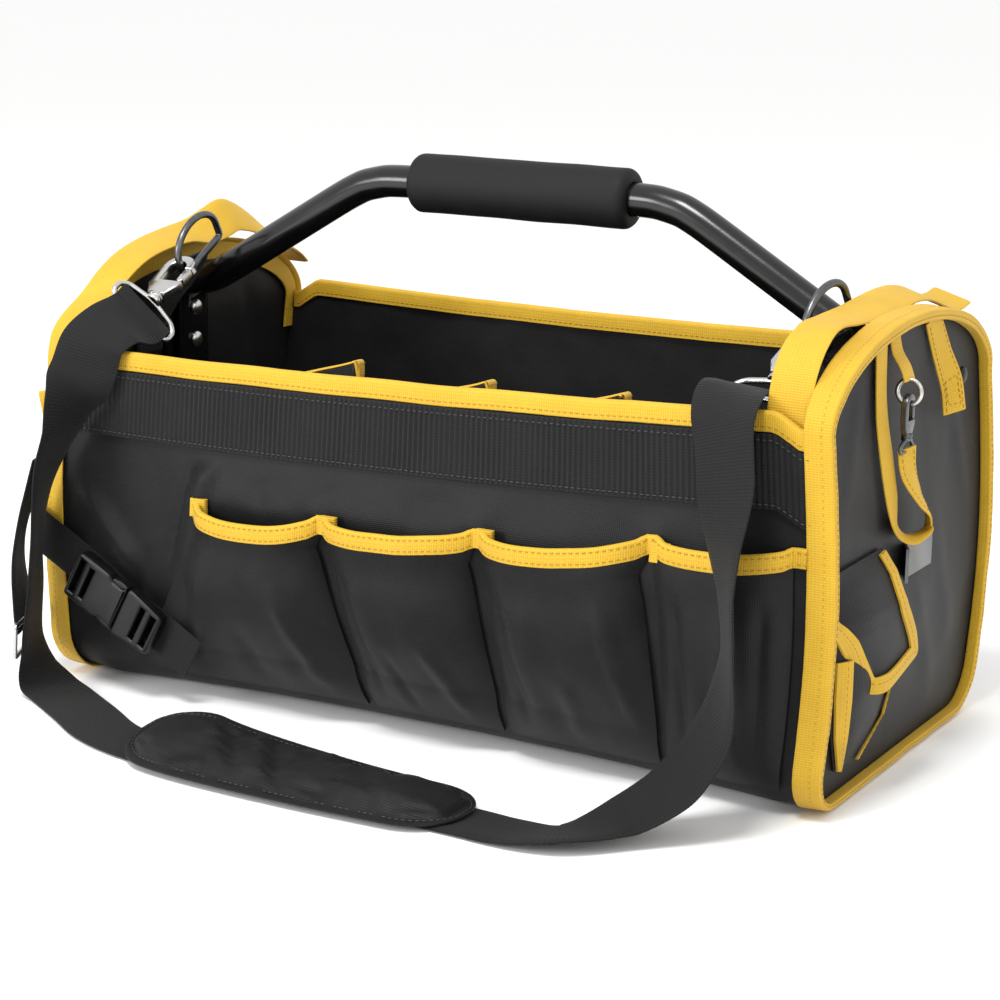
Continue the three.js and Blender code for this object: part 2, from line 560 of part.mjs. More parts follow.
// Each end's ring and spring hook share one leaning frame. The right-hand hook is closed and plain.
const RING_PLACES = [
  { name: "left", x: -202, y: -27, z: 246, yaw: 0, swivel: 55, gate: true },
  { name: "right", x: 201, y: -20, z: 239, yaw: -10, swivel: 0, gate: false },
];
for (const { name, x, y, z, yaw, swivel, gate } of RING_PLACES) {
  const frame = new THREE.Group();
  frame.position.set(x, y, z);
  frame.rotation.set(degToRad(D_RING.lean), 0, degToRad(yaw), "ZYX");
  bag.add(frame);
  addPart(`d_ring_${name}`, dRing(), GUNMETAL, frame);
  const hook = new THREE.Group();
  hook.position.set(0, -D_RING.halfBar, HOOK.height);
  frame.add(hook);
  addPart(`hook_${name}`, plate(hookShape(!gate), HOOK.thickness), NICKEL, hook);
  if (gate) {
    const lever = addPart(`hook_${name}_gate`, plate(gateShape(), HOOK.gate), NICKEL, hook);
    lever.position.set(GATE_PIVOT.x, GATE_PIVOT.y, 0);
  }
  const loop = addPart(
    `hook_${name}_loop`, swivelLoop(LOOP.halfWidth, LOOP.bar, LOOP.wire, LOOP.barrelRadius), NICKEL, hook,
  );
  loop.rotation.y = degToRad(swivel);
}

// Black tabs that tie the D-rings to the end walls.
const RING_TABS = [
  {
    name: "left",
    rows: [
      { x: -206.2, y: -27.5, z: 247, wx: 0, wy: 0.87, wz: 0.5 },
      { x: -207.5, y: -27, z: 240, wx: 0, wy: 0.9, wz: 0.45 },
      { x: -213.5, y: -30, z: 228, wx: 0, wy: 0.95, wz: 0.3 },
      { x: -224, y: -35, z: 214, wx: 0, wy: 1, wz: 0.1 },
      { x: -232.2, y: -38, z: 200, wx: 0, wy: 1, wz: 0 },
      { x: -234.6, y: -38, z: 186, wx: 0, wy: 1, wz: 0 },
    ],
  },
  {
    name: "right",
    rows: [
      { x: 204.5, y: -23, z: 235.6, wx: 0.15, wy: 0.86, wz: 0.5 },
      { x: 206.4, y: -22.5, z: 230, wx: 0.15, wy: 0.88, wz: 0.45 },
      { x: 212, y: -27.5, z: 223, wx: 0.1, wy: 0.95, wz: 0.3 },
      { x: 223.5, y: -34, z: 213, wx: 0, wy: 1, wz: 0.1 },
      { x: 232.2, y: -38, z: 200, wx: 0, wy: 1, wz: 0 },
      { x: 234.6, y: -38, z: 186, wx: 0, wy: 1, wz: 0 },
    ],
  },
];
for (const { name, rows } of RING_TABS) {
  addPart(`d_ring_tab_${name}`, strip(rows, D_RING.tabWidth, D_RING.tab, 8), WEBBING_BLACK);
}

// Shoulder strap, from the left hook down to the floor, under its pad, and up to the right hook.
const STRAP_ROUTE = [
  { x: -200.4, y: -84.5, z: 221.7, wx: 0.57, wy: 0.41, wz: -0.71 },
  { x: -197.6, y: -98, z: 218, wx: 0.62, wy: 0.38, wz: -0.66 },
  { x: -200.5, y: -114, z: 216.5, wx: 0.88, wy: 0.28, wz: -0.36 },
  { x: -205, y: -129, z: 207.5, wx: 0.93, wy: 0.3, wz: -0.16 },
  { x: -207.5, y: -135.5, z: 191.5, wx: 0.87, wy: 0.49, wz: -0.03 },
  { x: -210, y: -143, z: 176, wx: 0.33, wy: 0.95, wz: 0 },
  { x: -215.5, y: -145.5, z: 158, wx: -0.02, wy: 1, wz: 0 },
  { x: -225, y: -146.5, z: 137, wx: -0.22, wy: 0.98, wz: 0 },
  { x: -231, y: -147, z: 116.5, wx: -0.4, wy: 0.92, wz: 0 },
  { x: -235, y: -147.5, z: 90, wx: -0.49, wy: 0.87, wz: 0 },
  { x: -236.5, y: -148, z: 62, wx: -0.43, wy: 0.9, wz: 0 },
  { x: -240, y: -147.5, z: 28.5, wx: -0.37, wy: 0.93, wz: 0 },
  { x: -236.5, y: -147.5, z: 14, wx: -0.16, wy: 0.99, wz: 0 },
  { x: -228, y: -149, z: 4.5, wx: 0.25, wy: 0.97, wz: 0 },
  { x: -214, y: -154, z: 1.3, wx: 0.45, wy: 0.89, wz: 0 },
  { x: -181, y: -174, z: 1.2, wx: 0.54, wy: 0.84, wz: 0 },
  { x: -148, y: -194.5, z: 1.2, wx: 0.45, wy: 0.89, wz: 0 },
  { x: -110, y: -206, z: 1.2, wx: 0.22, wy: 0.98, wz: 0 },
  { x: -50, y: -209.5, z: 1.2, wx: 0, wy: 1, wz: 0 },
  { x: 30, y: -209.5, z: 1.2, wx: 0, wy: 1, wz: 0 },
  { x: 92, y: -210.5, z: 1.2, wx: 0, wy: 1, wz: 0 },
  { x: 116, y: -212, z: 1.5, wx: -0.08, wy: 0.99, wz: -0.02 },
  { x: 134, y: -212, z: 3.2, wx: -0.25, wy: 0.96, wz: -0.1 },
  { x: 146, y: -209, z: 5, wx: -0.5, wy: 0.85, wz: -0.14 },
  { x: 155, y: -201, z: 6, wx: -0.75, wy: 0.66, wz: -0.1 },
  { x: 169, y: -186, z: 11.5, wx: -0.9, wy: 0.43, wz: 0 },
  { x: 187.5, y: -172, z: 25.5, wx: -0.91, wy: 0.41, wz: 0 },
  { x: 197.5, y: -165, z: 39, wx: -0.85, wy: 0.52, wz: 0 },
  { x: 203.5, y: -161, z: 52, wx: -0.82, wy: 0.58, wz: 0 },
  { x: 207.5, y: -157.5, z: 70.5, wx: -0.69, wy: 0.72, wz: 0 },
  { x: 208.5, y: -155.5, z: 97, wx: -0.54, wy: 0.84, wz: 0 },
  { x: 205, y: -152, z: 122, wx: -0.58, wy: 0.81, wz: 0 },
  { x: 201.5, y: -148, z: 146, wx: -0.75, wy: 0.66, wz: 0 },
  { x: 197.5, y: -141, z: 178, wx: -0.95, wy: 0.32, wz: 0.02 },
  { x: 191, y: -130.5, z: 208.5, wx: -0.94, wy: 0.33, wz: 0.08 },
  { x: 187, y: -112, z: 219.5, wx: -0.96, wy: 0.28, wz: 0.1 },
  { x: 187.5, y: -90, z: 217, wx: -0.98, wy: 0.18, wz: 0.05 },
];

// The strap's sewn return layer lies behind its first stretch, from the slider up to the left hook.
const RETURN = { width: 34, clear: 0.8, from: 17, to: 26 };
const strapFrames = stripFrames(STRAP_ROUTE, STRAP.steps);
addPart("shoulder_strap", webbing(strapFrames, STRAP.width, STRAP.thickness), WEBBING_BLACK);
const returnFrames = strapFrames.slice(RETURN.from, RETURN.to);
const returnBehind = -STRAP.thickness - RETURN.clear;
addPart("strap_return", webbing(returnFrames, RETURN.width, STRAP.thickness, returnBehind), WEBBING_BLACK);

// Steel slider behind the strap at its bend, close above the floor.
const sliderFrame = strapFrames[RETURN.to + 1];
function frameShape(width, length, bar) {
  const shape = polygon([[-width, -length], [width, -length], [width, length], [-width, length]]);
  const [x, y] = [width - bar, length - bar];
  const hole = [[-x, -y], [-x, y], [x, y], [x, -y]];
  shape.holes.push(new THREE.Path(hole.map(([across, along]) => new THREE.Vector2(across, along))));
  return shape;
}
const slider = addPart(
  "strap_slider", plate(frameShape(SLIDER.width / 2, SLIDER.length / 2, SLIDER.bar), SLIDER.thickness), NICKEL,
);
const sliderAlong = sliderFrame.up.clone().cross(sliderFrame.across);
slider.matrixAutoUpdate = false;
slider.matrix.makeBasis(sliderFrame.across, sliderAlong, sliderFrame.up);
slider.matrix.setPosition(
  sliderFrame.at.clone().addScaledVector(sliderFrame.up, -(STRAP.thickness + SLIDER.thickness) / 2 - 1.2),
);

// Shoulder pad: a padded sleeve over the strap, with rounded ends. It leans up at the back towards its left end.
const PAD_SPINE = [
  { x: PAD.fromX, y: -197 },
  { x: -78, y: -206 },
  { x: 0, y: -209 },
  { x: PAD.toX, y: -206 },
];
const padPlaces = PAD_SPINE.map(({ x, y }) => point(x, y, PAD.bottom));
const padSpine = new THREE.CatmullRomCurve3(padPlaces, false, "centripetal");
const padFrames = Array.from({ length: PAD.steps + 1 }, (_, i) => {
  const share = (1 - Math.cos((Math.PI * i) / PAD.steps)) / 2;
  const along = padSpine.getTangent(share);
  const lean = degToRad(PAD.tilt) * (1 - share) ** 1.5;
  const across = point(-along.y, along.x, 0).multiplyScalar(Math.cos(lean)).add(point(0, 0, Math.sin(lean)));
  const at = padSpine.getPoint(share).add(point(0, 0, PAD.halfWidth * Math.sin(lean)));
  return { at, across, up: along.clone().cross(across) };
});
function padSection(i) {
  const fromEnd = Math.abs((2 * i) / PAD.steps - 1);
  const half = PAD.halfWidth * Math.sqrt(1 - 0.62 * fromEnd ** 6);
  const top = PAD.thickness * (1 - 0.45 * fromEnd ** 6);
  return [[-half, 0], [half, 0], [half, top * 0.6], [half * 0.8, top], [-half * 0.8, top], [-half, top * 0.6]];
}
addPart("shoulder_pad", sweep(padFrames, padSection), CANVAS);

// Short strap on the front left, with a fastened side-release buckle on it.
const SIDE_STRAP_ROUTE = [
  { x: -255.6, y: -112, z: 95, wx: 0, wy: 0.1, wz: 0.98 },
  { x: -255, y: -121.6, z: 93.5, wx: 0.1, wy: 0.1, wz: 0.97 },
  { x: -249, y: -126.4, z: 90.5, wx: 0.3, wy: 0, wz: 0.94 },
  { x: -230, y: -126.4, z: 80, wx: 0.45, wy: 0, wz: 0.89 },
  { x: -214, y: -126.4, z: 71, wx: 0.45, wy: 0, wz: 0.89 },
  { x: -187, y: -128.6, z: 56, wx: 0.48, wy: 0, wz: 0.88 },
  { x: -160, y: -129, z: 41.5, wx: 0.48, wy: 0, wz: 0.88 },
  { x: -136, y: -130.6, z: 29, wx: 0.48, wy: 0, wz: 0.88 },
];
const sideStrap = strip(SIDE_STRAP_ROUTE, SIDE_STRAP.width, SIDE_STRAP.thickness, SIDE_STRAP.steps);
addPart("side_strap", sideStrap, WEBBING_BLACK);
const buckle = new THREE.Group();
buckle.position.set(BUCKLE.x, BUCKLE.y, BUCKLE.z);
buckle.rotation.set(Math.PI / 2, degToRad(-BUCKLE.slope), 0, "YXZ");
bag.add(buckle);
const wide = BUCKLE.halfWidth;
const lip = wide + 1;
const nose = wide - 2;
const socketShape = polygon([[-34, -wide], [-6, -wide], [4, -lip], [4, lip], [-6, wide], [-34, wide]]);
const plugShape = polygon([[4.5, -lip], [14, -wide], [32, -nose], [32, nose], [14, wide], [4.5, lip]]);
const socketSlot = [[-31, -12], [-31, 12], [-27, 12], [-27, -12]];
const plugSlot = [[24, -11], [24, 11], [28.5, 11], [28.5, -11]];
socketShape.holes.push(new THREE.Path(socketSlot.map(([x, y]) => new THREE.Vector2(x, y))));
plugShape.holes.push(new THREE.Path(plugSlot.map(([x, y]) => new THREE.Vector2(x, y))));
addPart("buckle_socket", plate(socketShape, BUCKLE.thickness), BLACK_PLASTIC, buckle);
addPart("buckle_plug", plate(plugShape, BUCKLE.thickness - 1), BLACK_PLASTIC, buckle);

// Flap pocket on the right end: rows from its mouth down, between a front and a back edge.
const END_FACE = END_PANEL.clear + END_PANEL.thickness;
const endFace = (z) => endX(z) + END_FACE;
const END_POCKET_ROWS = [
  { z: 111, front: -107, back: -40, full: 0.7 },
  { z: 90, front: -107, back: -30, full: 1 },
  { z: 62, front: -104, back: -24, full: 1 },
  { z: 40, front: -98, back: -30, full: 0.7 },
  { z: 20, front: -88, back: -58, full: 0.15 },
];
const END_POCKET = { depth: 9, clear: 0.6, wall: 1.6, columns: [0, 0.12, 0.35, 0.65, 0.88, 1] };
function endPocketPoint({ z, front, back, full }, share) {
  const out = END_POCKET.clear + END_POCKET.depth * full * crown(share, 3);
  return point(endFace(z) + out, lerp(front, back, share), z);
}
const endPocketColumn = (share) => END_POCKET_ROWS.map((row) => endPocketPoint(row, share));
const endPocketGrid = END_POCKET.columns.map(endPocketColumn);
addPart("end_pocket", cloth(endPocketGrid, -END_POCKET.wall), CANVAS);

// Its flap folds over the mouth and ends in a blunt point.
const FLAP_ROWS = [
  { z: 130, front: -108, back: -44, out: 0.8 },
  { z: 120, front: -109, back: -41, out: 7 },
  { z: 104, front: -110, back: -41, out: 12.4 },
  { z: 86, front: -110, back: -27, out: 13.4 },
  { z: 70, front: -103, back: -19, out: 13.6 },
  { z: 59.5, front: -87, back: -60, out: 13 },
];
const flapColumns = [0, 0.33, 0.67, 1];
const flapPoint = ({ z, front, back, out }, share) => point(endFace(z) + out, lerp(front, back, share), z);
const flapGrid = flapColumns.map((share) => FLAP_ROWS.map((row) => flapPoint(row, share)));
addPart("end_pocket_flap", cloth(flapGrid, -END_POCKET.wall), CANVAS);

// Yellow tape round the flap's free edge, from the back of its hinge round the point to the front.
const FLAP_TAPE = { width: 9, clear: 1.25, tape: 1.2 };
const flapEdge = [
  ...FLAP_ROWS.slice(1).map(({ z, back }) => new THREE.Vector2(back, z)),
  ...FLAP_ROWS.slice(3).reverse().map(({ z, front }) => new THREE.Vector2(front, z)),
];
function flapX(z) {
  const below = Math.max(1, FLAP_ROWS.findIndex((row) => row.z <= z));
  const [high, low] = [FLAP_ROWS[below - 1], FLAP_ROWS[below]];
  const share = clamp((high.z - z) / (high.z - low.z), 0, 1);
  return lerp(endFace(high.z) + high.out, endFace(low.z) + low.out, share);
}
const flapTapeGrid = flapEdge.map((edge, i) => {
  const before = flapEdge[Math.max(i - 1, 0)];
  const after = flapEdge[Math.min(i + 1, flapEdge.length - 1)];
  const inward = new THREE.Vector2(before.y - after.y, after.x - before.x).normalize().negate();
  const out = END_POCKET.wall + FLAP_TAPE.clear;
  return [0, FLAP_TAPE.width].map((inset) => {
    const { x: y, y: z } = edge.clone().addScaledVector(inward, inset);
    return point(flapX(z) + out, y, z);
  });
});
addPart("end_flap_binding", cloth(flapTapeGrid, -FLAP_TAPE.tape), TAPE_YELLOW);

// Taped side edges of the pocket, where they show below the flap.
const EDGE_TAPE = { tape: 1.2, out: 2.7 };
const POCKET_EDGES = [
  { name: "front", shares: [0, 0.12] },
  { name: "back", shares: [0.88, 1] },
];
for (const { name, shares } of POCKET_EDGES) {
  const grid = END_POCKET_ROWS.slice(2).map((row) =>
    shares.map((share) => endPocketPoint(row, share).add(point(EDGE_TAPE.out, 0, 0))),
  );
  addPart(`end_pocket_binding_${name}`, cloth(grid, EDGE_TAPE.tape), TAPE_YELLOW);
}

// Bent steel clip for a tape measure, flat on the right end behind the flap.
const CLIP = { height: 19, thickness: 1.6, bottom: 106, slope: 8 };
const sheetFace = CLIP.thickness;
const clipShape = polygon([[-18, 5], [-8, 0], [32, 0], [32, sheetFace], [-7.6, sheetFace], [-17, 6.4]]);
const clip = addPart("tape_clip", plate(clipShape, CLIP.height), GUNMETAL);
clip.position.set(endFace(CLIP.bottom + CLIP.height / 2) + 0.6, 0, CLIP.bottom + CLIP.height / 2);
clip.matrixAutoUpdate = false;
clip.matrix.makeBasis(point(0, 1, 0), point(1, 0, 0), point(0, 0, -1));
clip.matrix.setPosition(clip.position);

// Hanging strap for a roll of tape: yellow webbing, a ring on a tab under the arch, and a small spring hook.
const TAPE_STRAP_ROUTE = [
  { x: 249.6, y: -26, z: 173.4, wx: 0.2, wy: 0.98, wz: 0 },
  { x: 251.5, y: -20, z: 158, wx: 0.25, wy: 0.97, wz: 0 },
  { x: 252.5, y: -13, z: 142, wx: 0.3, wy: 0.95, wz: 0 },
  { x: 251, y: -12, z: 134, wx: 0.3, wy: 0.95, wz: 0 },
  { x: 248, y: -17, z: 131.5, wx: 0.3, wy: 0.95, wz: 0 },
  { x: 246, y: -26, z: 138, wx: 0.2, wy: 0.97, wz: 0.1 },
  { x: 245.4, y: -31, z: 154, wx: 0.1, wy: 0.98, wz: 0.1 },
  { x: 243.6, y: -37, z: 176, wx: 0.05, wy: 0.99, wz: 0.1 },
  { x: 240.8, y: -41, z: 202, wx: 0, wy: 1, wz: 0.1 },
  { x: 239.9, y: -43, z: 232, wx: 0, wy: 1, wz: 0.1 },
];
addPart("tape_strap", strip(TAPE_STRAP_ROUTE, 15, 1.6, 26), TAPE_YELLOW);
const TAPE_TAB_ROUTE = [
  { x: 239.6, y: -26, z: 240, wx: 0, wy: 1, wz: 0 },
  { x: 241.5, y: -26, z: 232, wx: 0, wy: 1, wz: 0 },
  { x: 247, y: -26, z: 224.5, wx: 0, wy: 1, wz: 0 },
];
addPart("tape_tab", strip(TAPE_TAB_ROUTE, 14, 1.6, 5), TAPE_YELLOW);
const tapeRing = addPart("tape_ring", new THREE.TorusGeometry(TAPE.ringRadius, TAPE.ringWire, 6, 16), NICKEL);
tapeRing.position.set(TAPE.x, TAPE.y, TAPE.ringHeight);
tapeRing.rotation.x = Math.PI / 2;
const tapeHook = new THREE.Group();
tapeHook.position.set(TAPE.x, TAPE.y, TAPE.ringHeight - TAPE.ringRadius + 0.6);
const hanging = new THREE.Matrix4().makeBasis(point(0, 1, 0), point(0, 0, 1), point(1, 0, 0));
tapeHook.quaternion.setFromRotationMatrix(hanging);
tapeHook.scale.setScalar(TAPE_HOOK_SCALE);
bag.add(tapeHook);
const tapeLoop = swivelLoop(15, 44, LOOP.wire, LOOP.barrelRadius).translate(0, 1, 0);
const tapeHookBase = joined(plate(hookShape(false), HOOK.thickness), tapeLoop);
addPart("tape_hook", tapeHookBase, GUNMETAL, tapeHook);
const tapeGate = addPart("tape_hook_gate", plate(gateShape(), HOOK.gate), GUNMETAL, tapeHook);
tapeGate.position.set(GATE_PIVOT.x, GATE_PIVOT.y, 0);

// Loose tape end and a black stud on the right end, near the back of the arch.
const END_TAB_ROUTE = [
  { x: 240.2, y: 33, z: 231, wx: 0, wy: 0.93, wz: 0.36 },
  { x: 241, y: 46, z: 209, wx: 0, wy: 0.93, wz: 0.36 },
  { x: 242.2, y: 59, z: 186, wx: 0, wy: 0.97, wz: 0.2 },
];
addPart("end_tab", strip(END_TAB_ROUTE, 24, 1.8, 5), TAPE_YELLOW);
const stud = addPart("end_tab_stud", dome(5, 3), BLACK_PLASTIC);
stud.position.set(endFace(203) + 1.9, 82, 203);
stud.rotation.z = -Math.PI / 2;

// Folded yellow tape inside the right arch, and a yellow tab on the left end beside its front seam.
const button = addPart("arch_button", new THREE.CapsuleGeometry(6, 8, 3, 10), TAPE_YELLOW);
button.position.set(BODY.halfLength + END_PANEL.clear - 3.6, -74, 227);
button.rotation.x = degToRad(55);
button.scale.set(0.5, 1, 1);
const SIDE_TAB_ROUTE = [
  { x: -243.4, y: -103, z: 164, wx: 0, wy: 0.1, wz: 1 },
  { x: -251, y: -106, z: 163, wx: 0, wy: 0.1, wz: 1 },
  { x: -260, y: -110, z: 161, wx: 0, wy: 0.1, wz: 1 },
];
addPart("side_tab_left", strip(SIDE_TAB_ROUTE, 17, 2, 4), TAPE_YELLOW);

export default bag;
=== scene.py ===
import math

import bmesh
import bpy
import numpy as np
from mathutils import Matrix, Vector, noise


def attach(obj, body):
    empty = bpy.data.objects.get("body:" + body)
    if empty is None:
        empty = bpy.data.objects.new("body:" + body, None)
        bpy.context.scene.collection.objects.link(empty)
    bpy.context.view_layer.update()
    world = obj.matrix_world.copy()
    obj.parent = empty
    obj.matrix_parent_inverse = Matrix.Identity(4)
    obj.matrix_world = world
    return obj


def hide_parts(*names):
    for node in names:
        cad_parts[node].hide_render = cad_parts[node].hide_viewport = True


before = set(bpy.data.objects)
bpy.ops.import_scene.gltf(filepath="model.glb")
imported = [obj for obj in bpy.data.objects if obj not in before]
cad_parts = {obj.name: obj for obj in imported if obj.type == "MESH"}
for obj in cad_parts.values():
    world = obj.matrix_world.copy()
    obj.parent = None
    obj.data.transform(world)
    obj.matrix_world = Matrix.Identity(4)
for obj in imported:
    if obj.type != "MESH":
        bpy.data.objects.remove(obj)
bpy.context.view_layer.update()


# The studio: a white paper floor that runs back to the horizon, lit by soft lamps from above, left and right.
# The camera stands where the photograph was taken, as fitted to the bag's rims and corners.
def show(name, data):
    """An object of this name in the scene, standing at the origin."""
    made = bpy.data.objects.new(name, data)
    bpy.context.scene.collection.objects.link(made)
    return made


eye = Vector((0.69493, -1.26106, 0.45517))
look_at = Vector((-0.0087, 0.0, 0.1146))
camera_roll = math.radians(1.03)
camera = show("camera", bpy.data.cameras.new("camera"))
camera.data.sensor_width = 36
camera.data.lens = 90.93
camera.data.clip_end = 60
view_back = (eye - look_at).normalized()
view_right = Vector((0, 0, 1)).cross(view_back).normalized()
view_up = view_back.cross(view_right)
rolled_right = view_right * math.cos(camera_roll) + view_up * math.sin(camera_roll)
rolled_up = view_up * math.cos(camera_roll) - view_right * math.sin(camera_roll)
camera.matrix_world = Matrix.Translation(eye) @ Matrix((rolled_right, rolled_up, view_back)).transposed().to_4x4()
bpy.context.scene.camera = camera
bpy.context.scene.view_settings.view_transform = "Standard"


def srgb(code):
    """A colour written as an sRGB hex value, as the linear RGBA that shaders take."""
    parts = [int(code[i : i + 2], 16) / 255 for i in (1, 3, 5)]
    return [p / 12.92 if p <= 0.04045 else ((p + 0.055) / 1.055) ** 2.4 for p in parts] + [1.0]


def add_node(tree, kind, inputs=None, **settings):
    """Adds one node: settings are its own properties, inputs are values or sockets by input name or number."""
    made = tree.nodes.new(kind)
    for name, value in settings.items():
        setattr(made, name, value)
    for name, value in (inputs or {}).items():
        if isinstance(value, bpy.types.NodeSocket):
            tree.links.new(value, made.inputs[name])
        else:
            made.inputs[name].default_value = value
    return made


def new_material(name):
    material = bpy.data.materials.new(name)
    material.use_nodes = True
    return material, material.node_tree, material.node_tree.nodes["Principled BSDF"]


def tint(tree, shader, share, dark, light):
    """The shader's colour, from one hex value to another by a share."""
    colour = add_node(tree, "ShaderNodeMix", {0: share, 6: srgb(dark), 7: srgb(light)}, data_type="RGBA")
    tree.links.new(colour.outputs[2], shader.inputs["Base Color"])


# Paper gives an even white with no gloss, so that only the bag's soft shadow shows on it.
paper, paper_tree, paper_shader = new_material("white_paper_sweep")
paper_grain = add_node(paper_tree, "ShaderNodeTexNoise", {"Scale": 3.0, "Detail": 2.0})
tint(paper_tree, paper_shader, paper_grain.outputs["Fac"], "#F6F6F5", "#FBFBFB")
paper_shader.inputs["Roughness"].default_value = 0.9
FLOOR_REACH, FLOOR_LEVEL = 20, -0.0005
floor_mesh = bpy.data.meshes.new("floor")
floor_mesh.from_pydata(
    [(x * FLOOR_REACH, y * FLOOR_REACH, FLOOR_LEVEL) for x, y in ((-1, -1), (1, -1), (1, 1), (-1, 1))],
    [], [(0, 1, 2, 3)],
)
floor_mesh.materials.append(paper)
show("floor", floor_mesh)

world = bpy.data.worlds.new("studio")
world.use_nodes = True
world.node_tree.nodes["Background"].inputs["Color"].default_value = srgb("#FFFFFF")
world.node_tree.nodes["Background"].inputs["Strength"].default_value = 1.02
bpy.context.scene.world = world
lamp_target = Vector((0, 0, 0.12))
for lamp_name, place, size, power in (
    ("softbox_top", (0.1, -1.0, 2.0), 0.6, 30),
    ("softbox_left", (-1.2, -2.1, 0.9), 0.9, 28),
    ("softbox_right", (2.0, -0.7, 1.3), 1.0, 4),
):
    lamp = show(lamp_name, bpy.data.lights.new(lamp_name, "AREA"))
    lamp.data.shape = "DISK"
    lamp.data.size = size
    lamp.data.energy = power
    lamp.location = place
    lamp.rotation_euler = (lamp_target - Vector(place)).to_track_quat("-Z", "Y").to_euler()


# Shoulder strap: one length of ribbed black polypropylene webbing, 38 mm wide and 2 mm thick.
# It runs from the left spring hook down to the floor, under its pad, and up to the right hook.
MM = 0.001


def blend(tree, share, low, high):
    """A number between two others by a share."""
    return add_node(tree, "ShaderNodeMix", {0: share, 2: low, 3: high}, data_type="FLOAT").outputs[0]


def speckle(tree, scale, detail, **more):
    """Noise in the piece's own space, with this many waves to a metre."""
    place = add_node(tree, "ShaderNodeTexCoord").outputs["Object"]
    inputs = {"Vector": place, "Scale": scale, "Detail": detail, **more}
    return add_node(tree, "ShaderNodeTexNoise", inputs).outputs["Fac"]


def surface(tree, shader, rough_by, rough_low, rough_high, relief_by, depth, strength):
    """The shader's roughness, between two values by one noise, and its bump, `depth` mm deep, by another."""
    rough = add_node(tree, "ShaderNodeMapRange", {"Value": rough_by, 3: rough_low, 4: rough_high})
    bump = add_node(tree, "ShaderNodeBump", {"Height": relief_by, "Distance": depth * MM, "Strength": strength})
    tree.links.new(rough.outputs["Result"], shader.inputs["Roughness"])
    tree.links.new(bump.outputs["Normal"], shader.inputs["Normal"])


def woven(name, groove, crest, rib, pick, relief, roughness, rib_share=0.75, sheen=0.06, gloss=0.2):
    """Cloth: ribs across its length every `rib` mm and picks along it every `pick` mm, `relief` mm deep. Its colour
    runs from `groove` to `crest` with the weave's height, as painted shade between the threads, mixed with a random
    cloudy tone.
    """
    material, tree, shader = new_material(name)
    laid = add_node(tree, "ShaderNodeTexCoord").outputs["UV"]
    threads = []
    for pitch, wobble, axis in ((rib, 0.6, "X"), (pick, 0.8, "Y")):
        wave = {"Vector": laid, "Scale": math.pi / 10 / (pitch * MM), "Distortion": wobble, "Detail Scale": 3.0}
        threads.append(add_node(tree, "ShaderNodeTexWave", wave, bands_direction=axis).outputs["Fac"])
    ribs, picks = threads
    weave = blend(tree, rib_share, picks, ribs)
    cloud = speckle(tree, 38.0, 4.0, Roughness=0.6)
    fuzz = speckle(tree, 900.0, 2.0)
    # The colour is darker in the weave's grooves and lighter on its crests: painted shade in the hollows between
    # threads, mixed with a random cloudy tone.
    tint(tree, shader, blend(tree, 0.55, weave, cloud), groove, crest)
    surface(tree, shader, cloud, roughness - 0.06, roughness + 0.06, blend(tree, 0.25, weave, fuzz), relief, 0.8)
    shader.inputs["Specular IOR Level"].default_value = gloss
    shader.inputs["Sheen Weight"].default_value = sheen
    shader.inputs["Sheen Roughness"].default_value = 0.5
    return material


# Webbing gives a dull black with fine ribs across it.
# Its ribs are drawn at 1.7 mm and canvas threads at 1.1 mm, coarser than real so that they show at this size.
webbing_black = woven("polypropylene_webbing", "#060607", "#1B1B1C", 1.7, 2.4, 0.35, 0.72)


def catmull(points, steps):
    """A centripetal curve through the points, with the same number of steps as the solid's own route."""
    p = np.asarray(points, float)
    padded = np.vstack([2 * p[0] - p[1], p, 2 * p[-1] - p[-2]])
    spread_at = np.linspace(0, len(p) - 1, steps + 1)
    spans = np.minimum(spread_at.astype(int), len(p) - 2)
    t = (spread_at - spans)[:, None]
    p0, p1, p2, p3 = (padded[spans + k] for k in range(4))
    d0, d1, d2 = (np.sqrt(np.linalg.norm(b - a, axis=1))[:, None] for a, b in ((p0, p1), (p1, p2), (p2, p3)))
    d1 = np.where(d1 < 1e-4, 1.0, d1)
    d0, d2 = np.where(d0 < 1e-4, d1, d0), np.where(d2 < 1e-4, d1, d2)
    m1 = ((p1 - p0) / d0 - (p2 - p0) / (d0 + d1) + (p2 - p1) / d1) * d1
    m2 = ((p2 - p1) / d1 - (p3 - p1) / (d1 + d2) + (p3 - p2) / d2) * d1
    return p1 + m1 * t + (-3 * p1 + 3 * p2 - 2 * m1 - m2) * t**2 + (2 * p1 - 2 * p2 + m1 + m2) * t**3


def unit(v):
    return v / np.maximum(np.linalg.norm(v, axis=-1, keepdims=True), 1e-9)


def strip_frames(rows, steps):
    """Centres, width directions and facings of a flat strip through rows of x, y, z and a width direction."""
    rows = np.asarray(rows, float)
    centre = catmull(rows[:, :3], steps)
    along = unit(np.gradient(centre, axis=0))
    facing = unit(np.cross(along, catmull(rows[:, 3:], steps)))
    return centre, np.cross(facing, along), facing


def grid_normals(points):
    return unit(np.cross(np.gradient(points, axis=0), np.gradient(points, axis=1)))


def shade(mesh, material, crease):
    """One material, shaded smooth except across edges sharper than `crease` degrees."""
    mesh.materials.clear()
    mesh.materials.append(material)
    mesh.shade_smooth()
    mesh.set_sharp_from_angle(angle=math.radians(crease))


